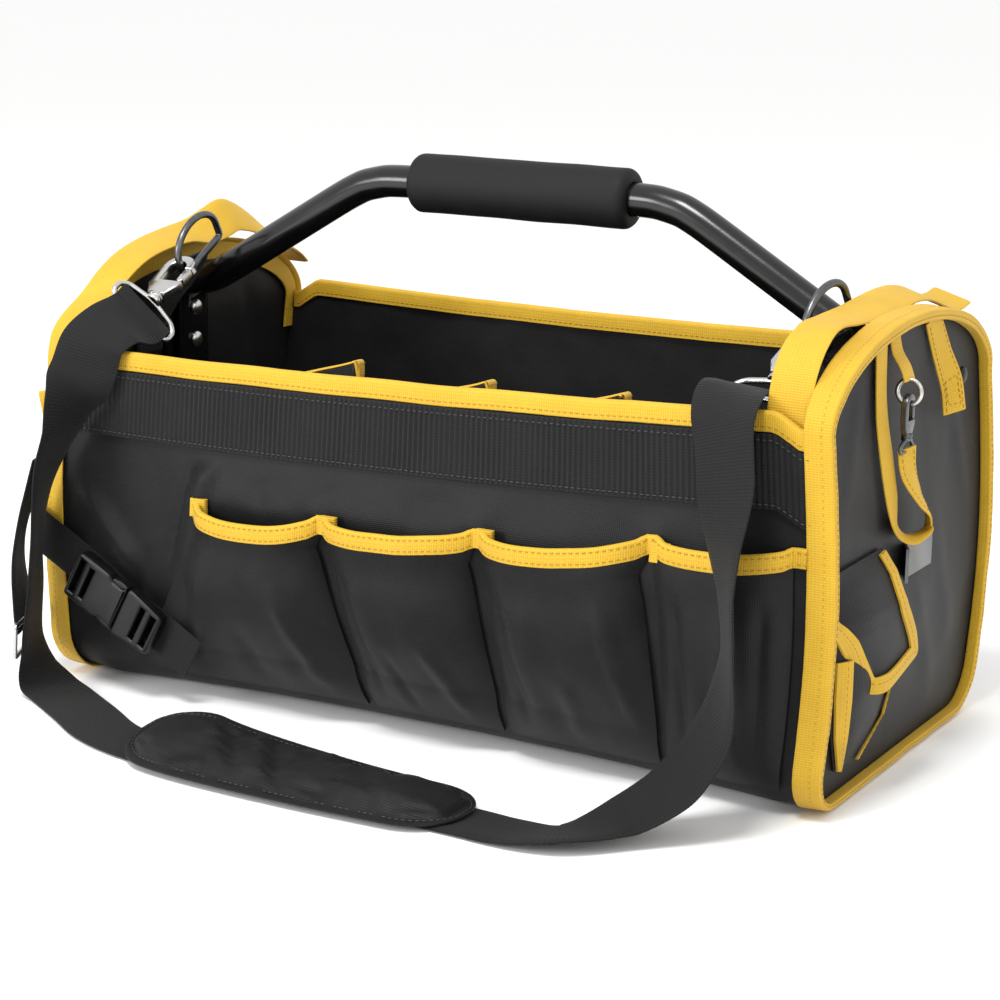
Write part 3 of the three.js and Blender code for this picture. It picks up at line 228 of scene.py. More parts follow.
def loft(name, rings, material, closed=False, sheet=False, flat_uv=None):
    """A closed skin over rings of points, in mm. UV runs in metres along the rings and round them, or along two axes.
    closed joins the last ring to the first. A sheet's ring is its face and then its back: its ends close in pairs."""
    rings = np.asarray(rings, float)
    count, around = rings.shape[:2]
    half = around // 2
    rows = np.vstack([rings, rings[:1]]) if closed else rings
    looped = np.concatenate([rows, rows[:, :1]], 1)
    steps_u = np.linalg.norm(np.diff(rows, axis=0), axis=2).mean(1)
    steps_v = np.linalg.norm(np.diff(looped, axis=1), axis=2).mean(0)
    if sheet:
        steps_v = np.concatenate([steps_v[: half - 1], [0], -steps_v[: half - 1][::-1], [0]])
    u = np.concatenate([[0], np.cumsum(steps_u)]) * MM
    v = np.concatenate([[0], np.cumsum(steps_v)]) * MM
    i, j = np.meshgrid(np.arange(len(rows) - 1), np.arange(around), indexing="ij")
    i, j = i.ravel(), j.ravel()
    corner_i = np.stack([i, i + 1, i + 1, i], 1)
    corner_j = np.stack([j, j, j + 1, j + 1], 1)
    faces = ((corner_i % count) * around + corner_j % around).tolist()
    face_uv = np.stack([u[corner_i], v[corner_j]], -1).reshape(-1, 2).tolist()
    if not closed:
        caps = [[k, k + 1, around - 2 - k, around - 1 - k] for k in range(half - 1)] if sheet else [list(range(around))]
        for row in (0, count - 1):
            for cap in caps:
                cap = cap[::-1] if row else cap
                faces.append([row * around + k for k in cap])
                face_uv.extend([[u[row] + 0.002, v[k]] for k in cap])
    vertices = rings.reshape(-1, 3)
    if flat_uv:
        face_uv = [vertices[k][list(flat_uv)] * MM for f in faces for k in f]
    a, b, c = (vertices[[f[k] for f in faces]] for k in range(3))
    volume = np.einsum("ij,ij->i", a, np.cross(b, c)).sum() + sum(
        vertices[f[0]] @ np.cross(vertices[f[k]], vertices[f[k + 1]]) for f in faces for k in range(2, len(f) - 1)
    )
    mesh = bpy.data.meshes.new(name)
    mesh.from_pydata((vertices * MM).tolist(), [], faces)
    mesh.uv_layers.new(name="UVMap").data.foreach_set("uv", np.ravel(face_uv))
    if volume < 0:
        mesh.flip_normals()
    shade(mesh, material, 40)
    mesh.validate()
    return show(name, mesh)


def settle(piece, slot, *nodes, body="bag"):
    """The piece stands for these nodes and rides on its body. Its slot is not used."""
    if nodes:
        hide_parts(*nodes)
    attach(piece, body)
    return piece


def thick(face, thickness):
    """Rings of a sheet: the face's points, and the same points `thickness` mm behind them in reverse."""
    return np.concatenate([face, (face + grid_normals(face) * thickness)[:, ::-1]], 1)


def webbing_rings(frames, width, thickness, columns=9, offset=0.0):
    """Rings of a flat strip whose two edges are a little thinner than its middle, `offset` mm off its frames."""
    centre, across, facing = frames
    places = np.linspace(-0.5, 0.5, columns)
    places = np.sign(places) * 0.5 * (1 - (1 - 2 * np.abs(places)) ** 1.35)
    edge = np.where(np.abs(places) > 0.49, 0.3 * thickness, 0.0)
    rise = offset - thickness / 2 + edge
    low = centre[:, None] + across[:, None] * (places * width)[:, None] + facing[:, None] * rise[:, None]
    high = low + facing[:, None] * (thickness - 2 * edge)[:, None]
    return np.concatenate([low, high[:, ::-1]], 1)


STRAP_WIDTH, STRAP_THICKNESS, STRAP_STEPS = 38.0, 2.0, 450
STRAP_ROUTE = [
    (-200.4, -84.5, 221.7, 0.57, 0.41, -0.71), (-197.6, -98, 218, 0.62, 0.38, -0.66),
    (-200.5, -114, 216.5, 0.88, 0.28, -0.36), (-205, -129, 207.5, 0.93, 0.3, -0.16),
    (-207.5, -135.5, 191.5, 0.87, 0.49, -0.03), (-210, -143, 176, 0.33, 0.95, 0), (-215.5, -145.5, 158, -0.02, 1, 0),
    (-225, -146.5, 137, -0.22, 0.98, 0), (-231, -147, 116.5, -0.4, 0.92, 0), (-235, -147.5, 90, -0.49, 0.87, 0),
    (-236.5, -148, 62, -0.43, 0.9, 0), (-240, -147.5, 28.5, -0.37, 0.93, 0), (-236.5, -147.5, 14, -0.16, 0.99, 0),
    (-228, -149, 4.5, 0.25, 0.97, 0), (-214, -154, 1.3, 0.45, 0.89, 0), (-181, -174, 1.2, 0.54, 0.84, 0),
    (-148, -194.5, 1.2, 0.45, 0.89, 0), (-110, -206, 1.2, 0.22, 0.98, 0), (-50, -209.5, 1.2, 0, 1, 0),
    (30, -209.5, 1.2, 0, 1, 0), (92, -210.5, 1.2, 0, 1, 0), (116, -212, 1.5, -0.08, 0.99, -0.02),
    (134, -212, 3.2, -0.25, 0.96, -0.1), (146, -209, 5, -0.5, 0.85, -0.14), (155, -201, 6, -0.75, 0.66, -0.1),
    (169, -186, 11.5, -0.9, 0.43, 0), (187.5, -172, 25.5, -0.91, 0.41, 0), (197.5, -165, 39, -0.85, 0.52, 0),
    (203.5, -161, 52, -0.82, 0.58, 0), (207.5, -157.5, 70.5, -0.69, 0.72, 0), (208.5, -155.5, 97, -0.54, 0.84, 0),
    (205, -152, 122, -0.58, 0.81, 0), (201.5, -148, 146, -0.75, 0.66, 0), (197.5, -141, 178, -0.95, 0.32, 0.02),
    (191, -130.5, 208.5, -0.94, 0.33, 0.08), (187, -112, 219.5, -0.96, 0.28, 0.1), (187.5, -90, 217, -0.98, 0.18, 0.05),
]
strap_frames = strip_frames(STRAP_ROUTE, STRAP_STEPS)
strap = loft(
    "strap_webbing", webbing_rings(strap_frames, STRAP_WIDTH, STRAP_THICKNESS), webbing_black, sheet=True
)
settle(strap, "webbing_black", "shoulder_strap")

# Return layer: the strap's own end, black webbing again, doubled back behind its left stretch.
# It is sewn to the strap at its top, stands off slackly and is threaded through the slider below.
RETURN_STEPS, RETURN_WIDTH, RETURN_GAP, RETURN_SLACK = slice(85, 135), 34, 2.8, 6.5
return_frames = [part[RETURN_STEPS].copy() for part in strap_frames]
return_share = np.linspace(0, 1, len(return_frames[2]))[:, None]
return_frames[0] -= return_frames[2] * (RETURN_SLACK * np.sin(np.pi * return_share**1.6) + 1.5 * return_share)
return_rings = webbing_rings(return_frames, RETURN_WIDTH, STRAP_THICKNESS, offset=-RETURN_GAP)
strap_back_layer = loft("strap_back_layer", return_rings, webbing_black, sheet=True)
settle(strap_back_layer, "webbing_black", "strap_return")


# Steel slider: a stamped rectangular ring, nickel plated, that grips the strap at its bend above the floor.
# Plating gives a bright, almost white metal with soft scratches.
def plated(name, dark, light, roughness, grain):
    """Bare plated metal, with clouds of wear `grain` mm wide."""
    material, tree, shader = new_material(name)
    cloud = speckle(tree, 1 / (grain * MM), 5.0, Roughness=0.65)
    tint(tree, shader, cloud, dark, light)
    surface(tree, shader, cloud, roughness - 0.08, roughness + 0.1, cloud, 0.05, 0.15)
    shader.inputs["Metallic"].default_value = 1.0
    return material


nickel = plated("nickel_plated_steel", "#BDBDBB", "#D6D6D4", 0.24, 9.0)


def add_line(curve, points, closed):
    spline = curve.splines.new("POLY")
    spline.points.add(len(points) - 1)
    for spot, place in zip(spline.points, points):
        spot.co = (*place, 1)
    spline.use_cyclic_u = closed


def take_mesh(name, source):
    """The finished mesh of an object with its modifiers. The object itself is dropped."""
    graph = bpy.context.evaluated_depsgraph_get()
    mesh = bpy.data.meshes.new_from_object(source.evaluated_get(graph), depsgraph=graph)
    bpy.data.objects.remove(source)
    mesh.name = name
    return mesh


def plate(name, outline, thickness, basis, origin, material, holes=(), bevel=0.6):
    """A stamped or moulded plate with rounded edges: an outline in mm, in the plane of basis x and y."""
    curve = bpy.data.curves.new(name, "CURVE")
    curve.dimensions = "2D"
    curve.fill_mode = "BOTH"
    curve.extrude = thickness / 2 - bevel
    curve.bevel_depth = bevel
    curve.bevel_resolution = 2
    curve.offset = -bevel
    for ring in (outline, *holes):
        add_line(curve, [(x, y, 0) for x, y in ring], True)
    mesh = take_mesh(name, show(name + "_outline", curve))
    turn = Matrix([Vector(axis) for axis in basis]).transposed().to_4x4()
    mesh.transform(Matrix.Scale(MM, 4) @ Matrix.Translation(Vector(origin)) @ turn)
    shape = bmesh.new()
    shape.from_mesh(mesh)
    bmesh.ops.remove_doubles(shape, verts=shape.verts, dist=1e-6)
    bmesh.ops.recalc_face_normals(shape, faces=shape.faces)
    shape.to_mesh(mesh)
    shape.free()
    shade(mesh, material, 35)
    return show(name, mesh)


def rounded(half_width, half_length, radius, steps=5):
    """A rectangle with round corners, as an outline round its middle."""
    corners = []
    for turn, (sx, sy) in enumerate(((1, 1), (-1, 1), (-1, -1), (1, -1))):
        x, y = sx * (half_width - radius), sy * (half_length - radius)
        for k in range(steps + 1):
            angle = math.pi / 2 * (turn + k / steps)
            corners.append((x + radius * math.cos(angle), y + radius * math.sin(angle)))
    return corners


SLIDER_AT, SLIDER_BEHIND = 135, 3.4
slider_across, slider_up = strap_frames[1][SLIDER_AT], strap_frames[2][SLIDER_AT]
slider = plate(
    "slider_ring", rounded(24, 11, 3.5), 2.4, (slider_across, np.cross(slider_up, slider_across), slider_up),
    strap_frames[0][SLIDER_AT] - slider_up * SLIDER_BEHIND, nickel, holes=[rounded(20.6, 7.6, 1.5)], bevel=0.7,
)
settle(slider, "nickel", "strap_slider")

# Shoulder pad: foam between two layers of black canvas, sewn together round a flat border, with round ends.
# It lies on the strap, and its cover is swelled as cloth under pressure, so that it puckers beside the seam.
# Canvas gives a soft black with a faint square weave and a dull shine on its folds.
canvas_black = woven(
    "polyester_canvas", "#08080A", "#242425", 1.1, 1.1, 0.2, 0.46, rib_share=0.5, sheen=0.02, gloss=0.16
)
PAD_SPINE = [(-119, -197, 2.6), (-78, -206, 2.6), (0, -209, 2.6), (91, -206, 2.6)]
PAD_STEPS, PAD_PLACES = 60, np.linspace(-1, 1, 33)
PAD_HALF_WIDTH, PAD_END_RADIUS, PAD_BORDER, PAD_SWELL = 32.0, 31.0, 7.0, 14
PAD_FLAT, PAD_LOFT, PAD_LEAN = 1.9, 7.6, math.radians(14)
PAD_CREASES = [(-66, 1.6), (-54, -1.3), (-36, 1.3), (-26, -0.9), (38, 0.8)]
pad_centre = catmull(PAD_SPINE, PAD_STEPS)
pad_length = np.concatenate([[0], np.cumsum(np.linalg.norm(np.diff(pad_centre, axis=0), axis=1))])
pad_ends = (1 - np.cos(np.pi * np.arange(PAD_STEPS + 1) / PAD_STEPS)) / 2
pad_centre = np.stack([np.interp(pad_ends * pad_length[-1], pad_length, pad_centre[:, k]) for k in range(3)], 1)
pad_along = unit(np.gradient(pad_centre, axis=0))
pad_lean = PAD_LEAN * (1 - pad_ends) ** 1.5
pad_across = np.stack([-pad_along[:, 1] * np.cos(pad_lean), pad_along[:, 0] * np.cos(pad_lean), np.sin(pad_lean)], 1)
pad_up = unit(np.cross(pad_along, pad_across))
pad_centre[:, 2] += PAD_HALF_WIDTH * np.sin(pad_lean)
pad_from_end = np.minimum(pad_ends, 1 - pad_ends) * pad_length[-1]
pad_round = np.maximum(PAD_END_RADIUS - pad_from_end, 0)
pad_half = PAD_HALF_WIDTH - PAD_END_RADIUS + np.sqrt(np.maximum(PAD_END_RADIUS**2 - pad_round**2, 1))


def pad_height(edge, where):
    """The pad's thickness `edge` mm in from its outline: a flat sewn border, then the foam's swell."""
    swell = np.clip((edge - PAD_BORDER) / PAD_SWELL, 0, 1)
    return PAD_FLAT + (PAD_LOFT - PAD_FLAT) * np.sin(swell * math.pi / 2) ** 0.8 + 0.7 * where


pad_top, pad_bottom = [], []
for row in range(PAD_STEPS + 1):
    low_row, high_row = [], []
    for place in PAD_PLACES:
        spot = pad_centre[row] + pad_across[row] * pad_half[row] * place
        edge = min(pad_half[row] * (1 - abs(place)), pad_from_end[row] + 0.4)
        crease = noise.noise(Vector(spot * 0.035)) + 0.5 * noise.noise(Vector(spot * 0.09))
        for start, height in PAD_CREASES:
            crease += height * math.exp(-((((spot[0] - start) + 0.6 * (spot[1] + 207)) / 5) ** 2))
        rim = max(0.0, 1 - edge / 1.2)
        low_row.append(spot + pad_up[row] * 0.7 * rim)
        high_row.append(spot + pad_up[row] * (pad_height(edge, crease * min(1, edge / 12)) - 0.6 * rim))
    pad_bottom.append(low_row)
    pad_top.append(high_row[::-1])
pad = loft("pad_cover", np.concatenate([pad_bottom, pad_top], 1), canvas_black, sheet=True)


def blow_up(piece, held, pressure, spare, reach, frames):
    """Cloth under pressure: held vertices stay, the others have some spare length and move at most `reach` mm."""
    rest = np.array([spot.co for spot in piece.data.vertices])
    piece.vertex_groups.new(name="sewn").add(held, 1.0, "REPLACE")
    cover = piece.modifiers.new("cover", "CLOTH")
    cover.settings.vertex_group_mass = "sewn"
    cover.settings.mass = 0.01
    cover.settings.use_pressure = True
    cover.settings.uniform_pressure_force = pressure
    cover.settings.shrink_min = -spare
    cover.settings.effector_weights.gravity = 0
    cover.point_cache.frame_end = frames
    for number in range(1, frames + 1):
        bpy.context.scene.frame_set(number)
    blown = piece.evaluated_get(bpy.context.evaluated_depsgraph_get())
    moved = np.array([spot.co for spot in blown.to_mesh().vertices]) - rest
    blown.to_mesh_clear()
    piece.modifiers.remove(cover)
    piece.vertex_groups.clear()
    bpy.context.scene.frame_set(1)
    size = np.linalg.norm(moved, axis=1, keepdims=True)
    moved *= np.minimum(1, reach * MM / np.maximum(size, 1e-9))
    piece.data.vertices.foreach_set("co", (rest + moved).ravel())
    piece.data.update()


pad_held, pad_around = [], 2 * len(PAD_PLACES)
for row in range(PAD_STEPS + 1):
    for column, place in enumerate(PAD_PLACES):
        pad_held.append(row * pad_around + column)
        if min(pad_half[row] * (1 - abs(place)), pad_from_end[row]) < PAD_BORDER - 1:
            pad_held.append((row + 1) * pad_around - 1 - column)
blow_up(pad, pad_held, pressure=4.0, spare=0.04, reach=4.0, frames=20)
settle(pad, "canvas_black", "shoulder_pad")


# Sewing thread: lock stitches about 2.6 mm long in every seam, set along the seam's line by one node tree.
# Bonded polyester thread, a little glossier than the cloth that it pulls into.
def thread_material(name, code):
    material, tree, shader = new_material(name)
    ply = speckle(tree, 700.0, 2.0)
    surface(tree, shader, ply, 0.5, 0.7, ply, 0.1, 0.7)
    shader.inputs["Base Color"].default_value = srgb(code)
    return material


# The thread's darker yellow shows each stitch as a short dash on the tape.
# The black one is just lighter than its cloth.
thread_yellow = thread_material("polyester_thread_yellow", "#A87C14")
thread_black = thread_material("polyester_thread_black", "#3A3A3B")


def ball_tree(name, segments, rings, on_seam=False):
    """A node tree that sets a ball of some Size on each of its Places, or one every Pitch along a seam."""
    tree = bpy.data.node_groups.new(name, "GeometryNodeTree")
    for socket_name, kind in (("Places", "Geometry"), ("Pitch", "Float"), ("Size", "Vector"), ("Stuff", "Material")):
        tree.interface.new_socket(socket_name, in_out="INPUT", socket_type="NodeSocket" + kind)
    tree.interface.new_socket("Balls", in_out="OUTPUT", socket_type="NodeSocketGeometry")
    given = add_node(tree, "NodeGroupInput").outputs
    ball = add_node(tree, "GeometryNodeMeshUVSphere", {"Segments": segments, "Rings": rings, "Radius": 0.5})
    setting = {"Points": given["Places"], "Instance": ball.outputs["Mesh"], "Scale": given["Size"]}
    if on_seam:
        spaced = {"Curve": given["Places"], "Length": given["Pitch"]}
        setting["Points"] = add_node(tree, "GeometryNodeResampleCurve", spaced, mode="LENGTH").outputs["Curve"]
        tangent = add_node(tree, "GeometryNodeInputTangent").outputs["Tangent"]
        turn = add_node(tree, "FunctionNodeAlignEulerToVector", {"Vector": tangent}, axis="X")
        setting["Rotation"] = turn.outputs["Rotation"]
    laid = add_node(tree, "GeometryNodeInstanceOnPoints", setting)
    real = add_node(tree, "GeometryNodeRealizeInstances", {"Geometry": laid.outputs["Instances"]})
    dyed = {"Geometry": real.outputs["Geometry"], "Material": given["Stuff"]}
    add_node(tree, "NodeGroupOutput", {"Balls": add_node(tree, "GeometryNodeSetMaterial", dyed).outputs["Geometry"]})
    return tree


def set_balls(name, data, tree, size, material, pitch=0.0):
    """The balls that the tree sets on a mesh's points or a curve, as one piece."""
    places = show(name + "_places", data)
    worker = places.modifiers.new(name, "NODES")
    worker.node_group = tree
    keys = {item.name: item.identifier for item in tree.interface.items_tree if item.in_out == "INPUT"}
    worker[keys["Pitch"]] = pitch * MM
    worker[keys["Size"]] = [part * MM for part in size]
    worker[keys["Stuff"]] = material
    mesh = take_mesh(name, places)
    mesh.shade_smooth()
    return show(name, mesh)


STITCH_PITCH, STITCH_SIZE = 3.6, (2.6, 0.6, 0.6)
stitch_tree = ball_tree("lock_stitches", 6, 4, on_seam=True)


def sew(name, lines, thread, slot):
    """Stitches along lines of points in mm. Each line is an open seam."""
    curve = bpy.data.curves.new(name, "CURVE")
    curve.dimensions = "3D"
    for line in lines:
        add_line(curve, np.asarray(line) * MM, False)
    settle(set_balls(name, curve, stitch_tree, STITCH_SIZE, thread, STITCH_PITCH), slot)


pad_seam = []
for side, rows in ((1, range(4, 57)), (-1, range(56, 3, -1))):
    for row in rows:
        pad_seam.append(pad_centre[row] + side * pad_across[row] * (pad_half[row] - 5.0) + np.array([0, 0, 2.1]))
sew("pad_stitches", [pad_seam + pad_seam[:1]], thread_black, "canvas_black")

# Body: one panel of black polyester canvas that makes the front, the bottom and the back of the bag.
# It is folded up round a stiffened bottom, and its pockets pull it into shallow folds.
HALF_LENGTH, HALF_DEPTH, SHOULDER, ARCH_RISE, END_BOW = 235.0, 119.0, 203.0, 44.0, 6
CANVAS_THICKNESS = 2.0
EDGE_LIFT, LIFT_FROM, LIFT_OVER = 2.8, 214, 14
FRONT_TOP, FRONT_SLOPE, FRONT_SAG, FRONT_BOW = 206, 6, 3.5, 4
BACK_TOP, BACK_SAG, BACK_BOW = 213, 4, 5
CORNER_LEAST, CORNER_MORE = 26, 12
TUCK, TUCK_BELOW = 24, 95
BELLY, BELLY_AT, BELLY_SPAN, BELLY_FROM, BELLY_OVER = 7.5, 125, 19, -165, 45


def middle(u):
    return 1 - (u / HALF_LENGTH) ** 2


def end_x(z):
    return HALF_LENGTH + END_BOW * np.sin(np.pi * np.clip(z / SHOULDER, 0, 1))


def spread(u, z):
    return u * end_x(z) / HALF_LENGTH


def lift(u):
    return EDGE_LIFT * np.clip((np.abs(u) - LIFT_FROM) / LIFT_OVER, 0, 1)


def dip(u, z):
    return z + (np.minimum(z, SHOULDER) - z) * lift(u) / EDGE_LIFT


def front_rim(u):
    return dip(u, FRONT_TOP + FRONT_SLOPE * u / HALF_LENGTH - FRONT_SAG * middle(u))


def back_rim(u):
    return dip(u, BACK_TOP - BACK_SAG * middle(u))


def corner(u):
    return CORNER_LEAST + CORNER_MORE * middle(u)


def front_wall(u, z):
    """The front leans in towards its foot and bellies out where the pockets' mouths pull at it."""
    tuck = TUCK * (1 - np.clip(z / TUCK_BELOW, 0, 1)) ** 1.5
    belly = BELLY * np.exp(-(((z - BELLY_AT) / BELLY_SPAN) ** 2)) * np.clip((u - BELLY_FROM) / BELLY_OVER, 0, 1)
    return -HALF_DEPTH - middle(u) * (FRONT_BOW * np.sin(np.pi * np.clip(z / FRONT_TOP, 0, 1)) + belly - tuck)


def back_face(u, z):
    return HALF_DEPTH + BACK_BOW * middle(u) * np.sin(np.pi * np.clip(z / BACK_TOP, 0, 1))


def front_face(u, z):
    """The front wall with the round of its bottom corner."""
    radius = corner(u)
    base = radius + lift(u)
    round_part = front_wall(u, base) + radius - np.sqrt(np.maximum(radius**2 - np.maximum(base - z, 0) ** 2, 0))
    return np.where(z >= base, front_wall(u, z), round_part)


def cross_section(u, front_top, back_top, wall_steps, turn_steps, bottom_steps):
    """Front rim, front wall, bottom and back wall at one place along the bag, as rows of y and z."""
    radius = corner(u)
    base = radius + lift(u)
    front_axis, back_axis = front_wall(u, base) + radius, back_face(u, base) - radius
    turns = np.linspace(0, np.pi / 2, turn_steps + 1)
    front_z = np.linspace(front_top, base, wall_steps, endpoint=False)
    back_z = np.linspace(back_top, base, wall_steps, endpoint=False)[::-1]
    bottom_y = np.linspace(front_axis, back_axis, bottom_steps + 2)[1:-1]
    return np.concatenate([
        np.stack([front_wall(u, front_z), front_z], 1),
        np.stack([front_axis - radius * np.cos(turns), base - radius * np.sin(turns)], 1),
        np.stack([bottom_y, np.full(bottom_steps, lift(u))], 1),
        np.stack([back_axis + radius * np.sin(turns), base - radius * np.cos(turns)], 1),
        np.stack([back_face(u, back_z), back_z], 1),
    ])


def ripple(points, size, seed=0.0):
    """Smooth noise of about -1 to 1 over points in mm. size is the length of its waves along x, y and z."""
    flat = np.asarray(points, float).reshape(-1, 3) / np.asarray(size, float) + seed
    return np.array([noise.noise(Vector(place)) for place in flat]).reshape(np.shape(points)[:-1])


def folds(u, z, lines):
    """Soft ridges along lines of u, z, u, z, height and width in mm, dying away at both ends."""
    total = np.zeros(np.broadcast(u, z).shape)
    for u0, z0, u1, z1, height, width in lines:
        du, dz = u1 - u0, z1 - z0
        share = ((u - u0) * du + (z - z0) * dz) / (du**2 + dz**2)
        off = ((u - u0) * dz - (z - z0) * du) / math.hypot(du, dz)
        total += height * np.exp(-((off / width) ** 2)) * np.clip(share * 4, 0, 1) * np.clip((1 - share) * 4, 0, 1)
    return total


BODY_FOLDS = [
    (-224, 128, -172, 66, 3.0, 6), (-228, 92, -196, 58, -2.0, 6), (-117, 166, -150, 54, 4.2, 9),
    (-130, 166, -164, 60, -2.2, 4), (-104, 166, -136, 100, -1.8, 4), (-215, 30, -150, 44, 1.6, 9),
    (-190, 24, -172, 92, -2.0, 5), (-60, 122, -30, 152, 1.6, 9), (40, 128, 62, 156, 1.6, 9),
    (140, 136, 165, 160, 1.4, 8), (-100, 128, -70, 146, -1.6, 9), (0, 134, 34, 148, -1.4, 10),
]
FOLDS_BELOW_RIM = 52
body_u = np.linspace(-HALF_LENGTH, HALF_LENGTH, 141)
body_face = []
for u in body_u:
    section = cross_section(u, front_rim(u), back_rim(u), 44, 12, 24)
    body_face.append(np.stack([spread(u, section[:, 1]), section[:, 0], section[:, 1]], 1))
body_face = np.array(body_face)
under_band = np.clip((front_rim(body_u)[:, None] - FOLDS_BELOW_RIM - body_face[..., 2]) / 12, 0, 1)
near_ends = np.clip((HALF_LENGTH - np.abs(body_u)) / 20, 0, 1)[:, None]
above_floor = np.clip(body_face[..., 2] / 25, 0, 1)
on_front = body_face[..., 1] < 0
body_swell = ripple(body_face, (46, 46, 60)) * 1.3 + ripple(body_face, (17, 17, 26), 5.0) * 0.6
body_swell += np.where(on_front, 1.3 * folds(body_u[:, None], body_face[..., 2], BODY_FOLDS), 0)
body_swell *= np.where(on_front, under_band, 1) * near_ends * above_floor
body_face = body_face - grid_normals(body_face) * body_swell[..., None]
body = loft("canvas_body", thick(body_face, CANVAS_THICKNESS), canvas_black, sheet=True)
settle(body, "canvas_black", "body_wrap")

# End walls: stiffened black canvas panels cut to an arch, sewn to the body round their whole edge.
# A yellow tape is folded over each seam and stands out as a fin, with a line of stitches on either side.
# Tape gives a warm, slightly shiny yellow with fine ribs across it.
tape_yellow = woven(
    "polyester_tape", "#B08611", "#D9B131", 1.3, 1.9, 0.25, 0.66, rib_share=0.7, sheen=0.05, gloss=0.35
)
END_OFF, END_THICKNESS, END_MIDDLE = 0.6, 2.4, np.array([0, 110])
END_FOLDS = [
    (60, 236, 92, 130, 1.8, 7), (30, 150, 84, 40, 1.4, 9), (-60, 228, -96, 150, 1.2, 8), (8, 110, 60, 20, 1.2, 9)
]
SIDES = (("left", -1), ("right", 1))
arch_turns = np.linspace(0, np.pi, 41)[1:-1]
end_outline = np.concatenate([
    cross_section(HALF_LENGTH, SHOULDER, SHOULDER, 24, 8, 20),
    np.stack([HALF_DEPTH * np.cos(arch_turns), SHOULDER + ARCH_RISE * np.sin(arch_turns)], 1),
])
outline_step = np.roll(end_outline, -1, 0) - np.roll(end_outline, 1, 0)
outline_facing = unit(np.stack([outline_step[:, 1], -outline_step[:, 0]], 1))


def end_wall(sign):
    shares = np.concatenate([[0.004], np.linspace(0.05, 1, 26)])
    spots = END_MIDDLE + (end_outline - END_MIDDLE) * shares[:, None, None]
    y, z = spots[..., 0], spots[..., 1]
    flat = np.stack([np.full_like(y, 50.0 * sign), y, z], -1)
    swell = ripple(flat, (40, 44, 52)) + ripple(flat, (20, 17, 24), 3.0) * 0.4 + folds(y, z, END_FOLDS)
    swell *= np.clip((1 - shares) * 5, 0, 1)[:, None]
    faces = [np.stack([sign * (end_x(z) + off + swell), y, z], -1) for off in (END_OFF, END_OFF + END_THICKNESS)]
    return np.concatenate([faces[0], faces[1][::-1]])


def soften(corners, radius, steps=3):
    """An outline with each corner rounded, by a quarter-turn curve between points `radius` mm along its sides."""
    corners = np.asarray(corners, float)
    out = []
    for before, here, after in zip(np.roll(corners, 1, 0), corners, np.roll(corners, -1, 0)):
        reach = min(radius, 0.45 * np.linalg.norm(before - here), 0.45 * np.linalg.norm(after - here))
        start, end = here + unit(before - here) * reach, here + unit(after - here) * reach
        for t in np.linspace(0, 1, steps + 1):
            out.append((1 - t) ** 2 * start + 2 * t * (1 - t) * here + t**2 * end)
    return np.array(out)


# Sections of the fin and of the tape's leg inside the bag: across from the seam and out from the outline.
FIN_SECTION = soften(
    [(-5.0, 2.3), (-3.0, 0.5), (3.4, 0.4), (3.4, -4.0), (10.0, -4.0), (10.0, 2.2), (-1.0, 3.0), (-5.0, 3.4)], 1.2
)
INNER_LEG = soften([(-0.4, 2.4), (-2.0, 2.4), (-2.6, 0.0), (-2.4, -10.5), (-1.0, -10.5), (-0.4, 0.0)], 0.6)


def fin_point(sign, across, out):
    """The end's whole outline moved across from the seam and out. Under the bottom it is moved out less."""
    flatter = 1 - 0.4 * np.clip(-outline_facing[:, 1], 0, 1)
    spots = end_outline + outline_facing * (out * flatter)[..., None]
    return np.stack([sign * (end_x(end_outline[:, 1]) + across), spots[:, 0], spots[:, 1]], 1)


for side, sign in SIDES:
    wall = loft(f"canvas_end_{side}", end_wall(sign), canvas_black, flat_uv=(1, 2))
    settle(wall, "canvas_black", f"end_panel_{side}")
    seam = fin_point(sign, 0, 0)
    sway = ripple(seam, 34, 2.0) * 0.7 + ripple(seam, 12, 7.0) * 0.3
    rings = []
    for across, out in FIN_SECTION:
        rings.append(fin_point(sign, across + (sway if across > 4 else 0), out + sway * 0.7 * (out > 1)))
    fin = loft(f"tape_end_{side}", np.array(rings).transpose(1, 0, 2), tape_yellow, closed=True)
    settle(fin, "tape_yellow", f"end_binding_{side}")
    outer, face = fin_point(sign, 4.2, 2.5 + sway * 0.7), fin_point(sign, 10.1 + sway, -1.6)
    fin_seams = [np.vstack([line, line[:1]]) for line in (outer, face)]
    sew(f"stitches_end_{side}", fin_seams, thread_yellow, "tape_yellow")
    above = np.r_[len(end_outline) - len(arch_turns) - 4 : len(end_outline), 0:5]
    leg = [fin_point(sign, across, out + sway * 0.5)[above] for across, out in INNER_LEG]
    inside = loft(f"tape_end_inside_{side}", np.array(leg).transpose(1, 0, 2), tape_yellow)
    settle(inside, "tape_yellow")

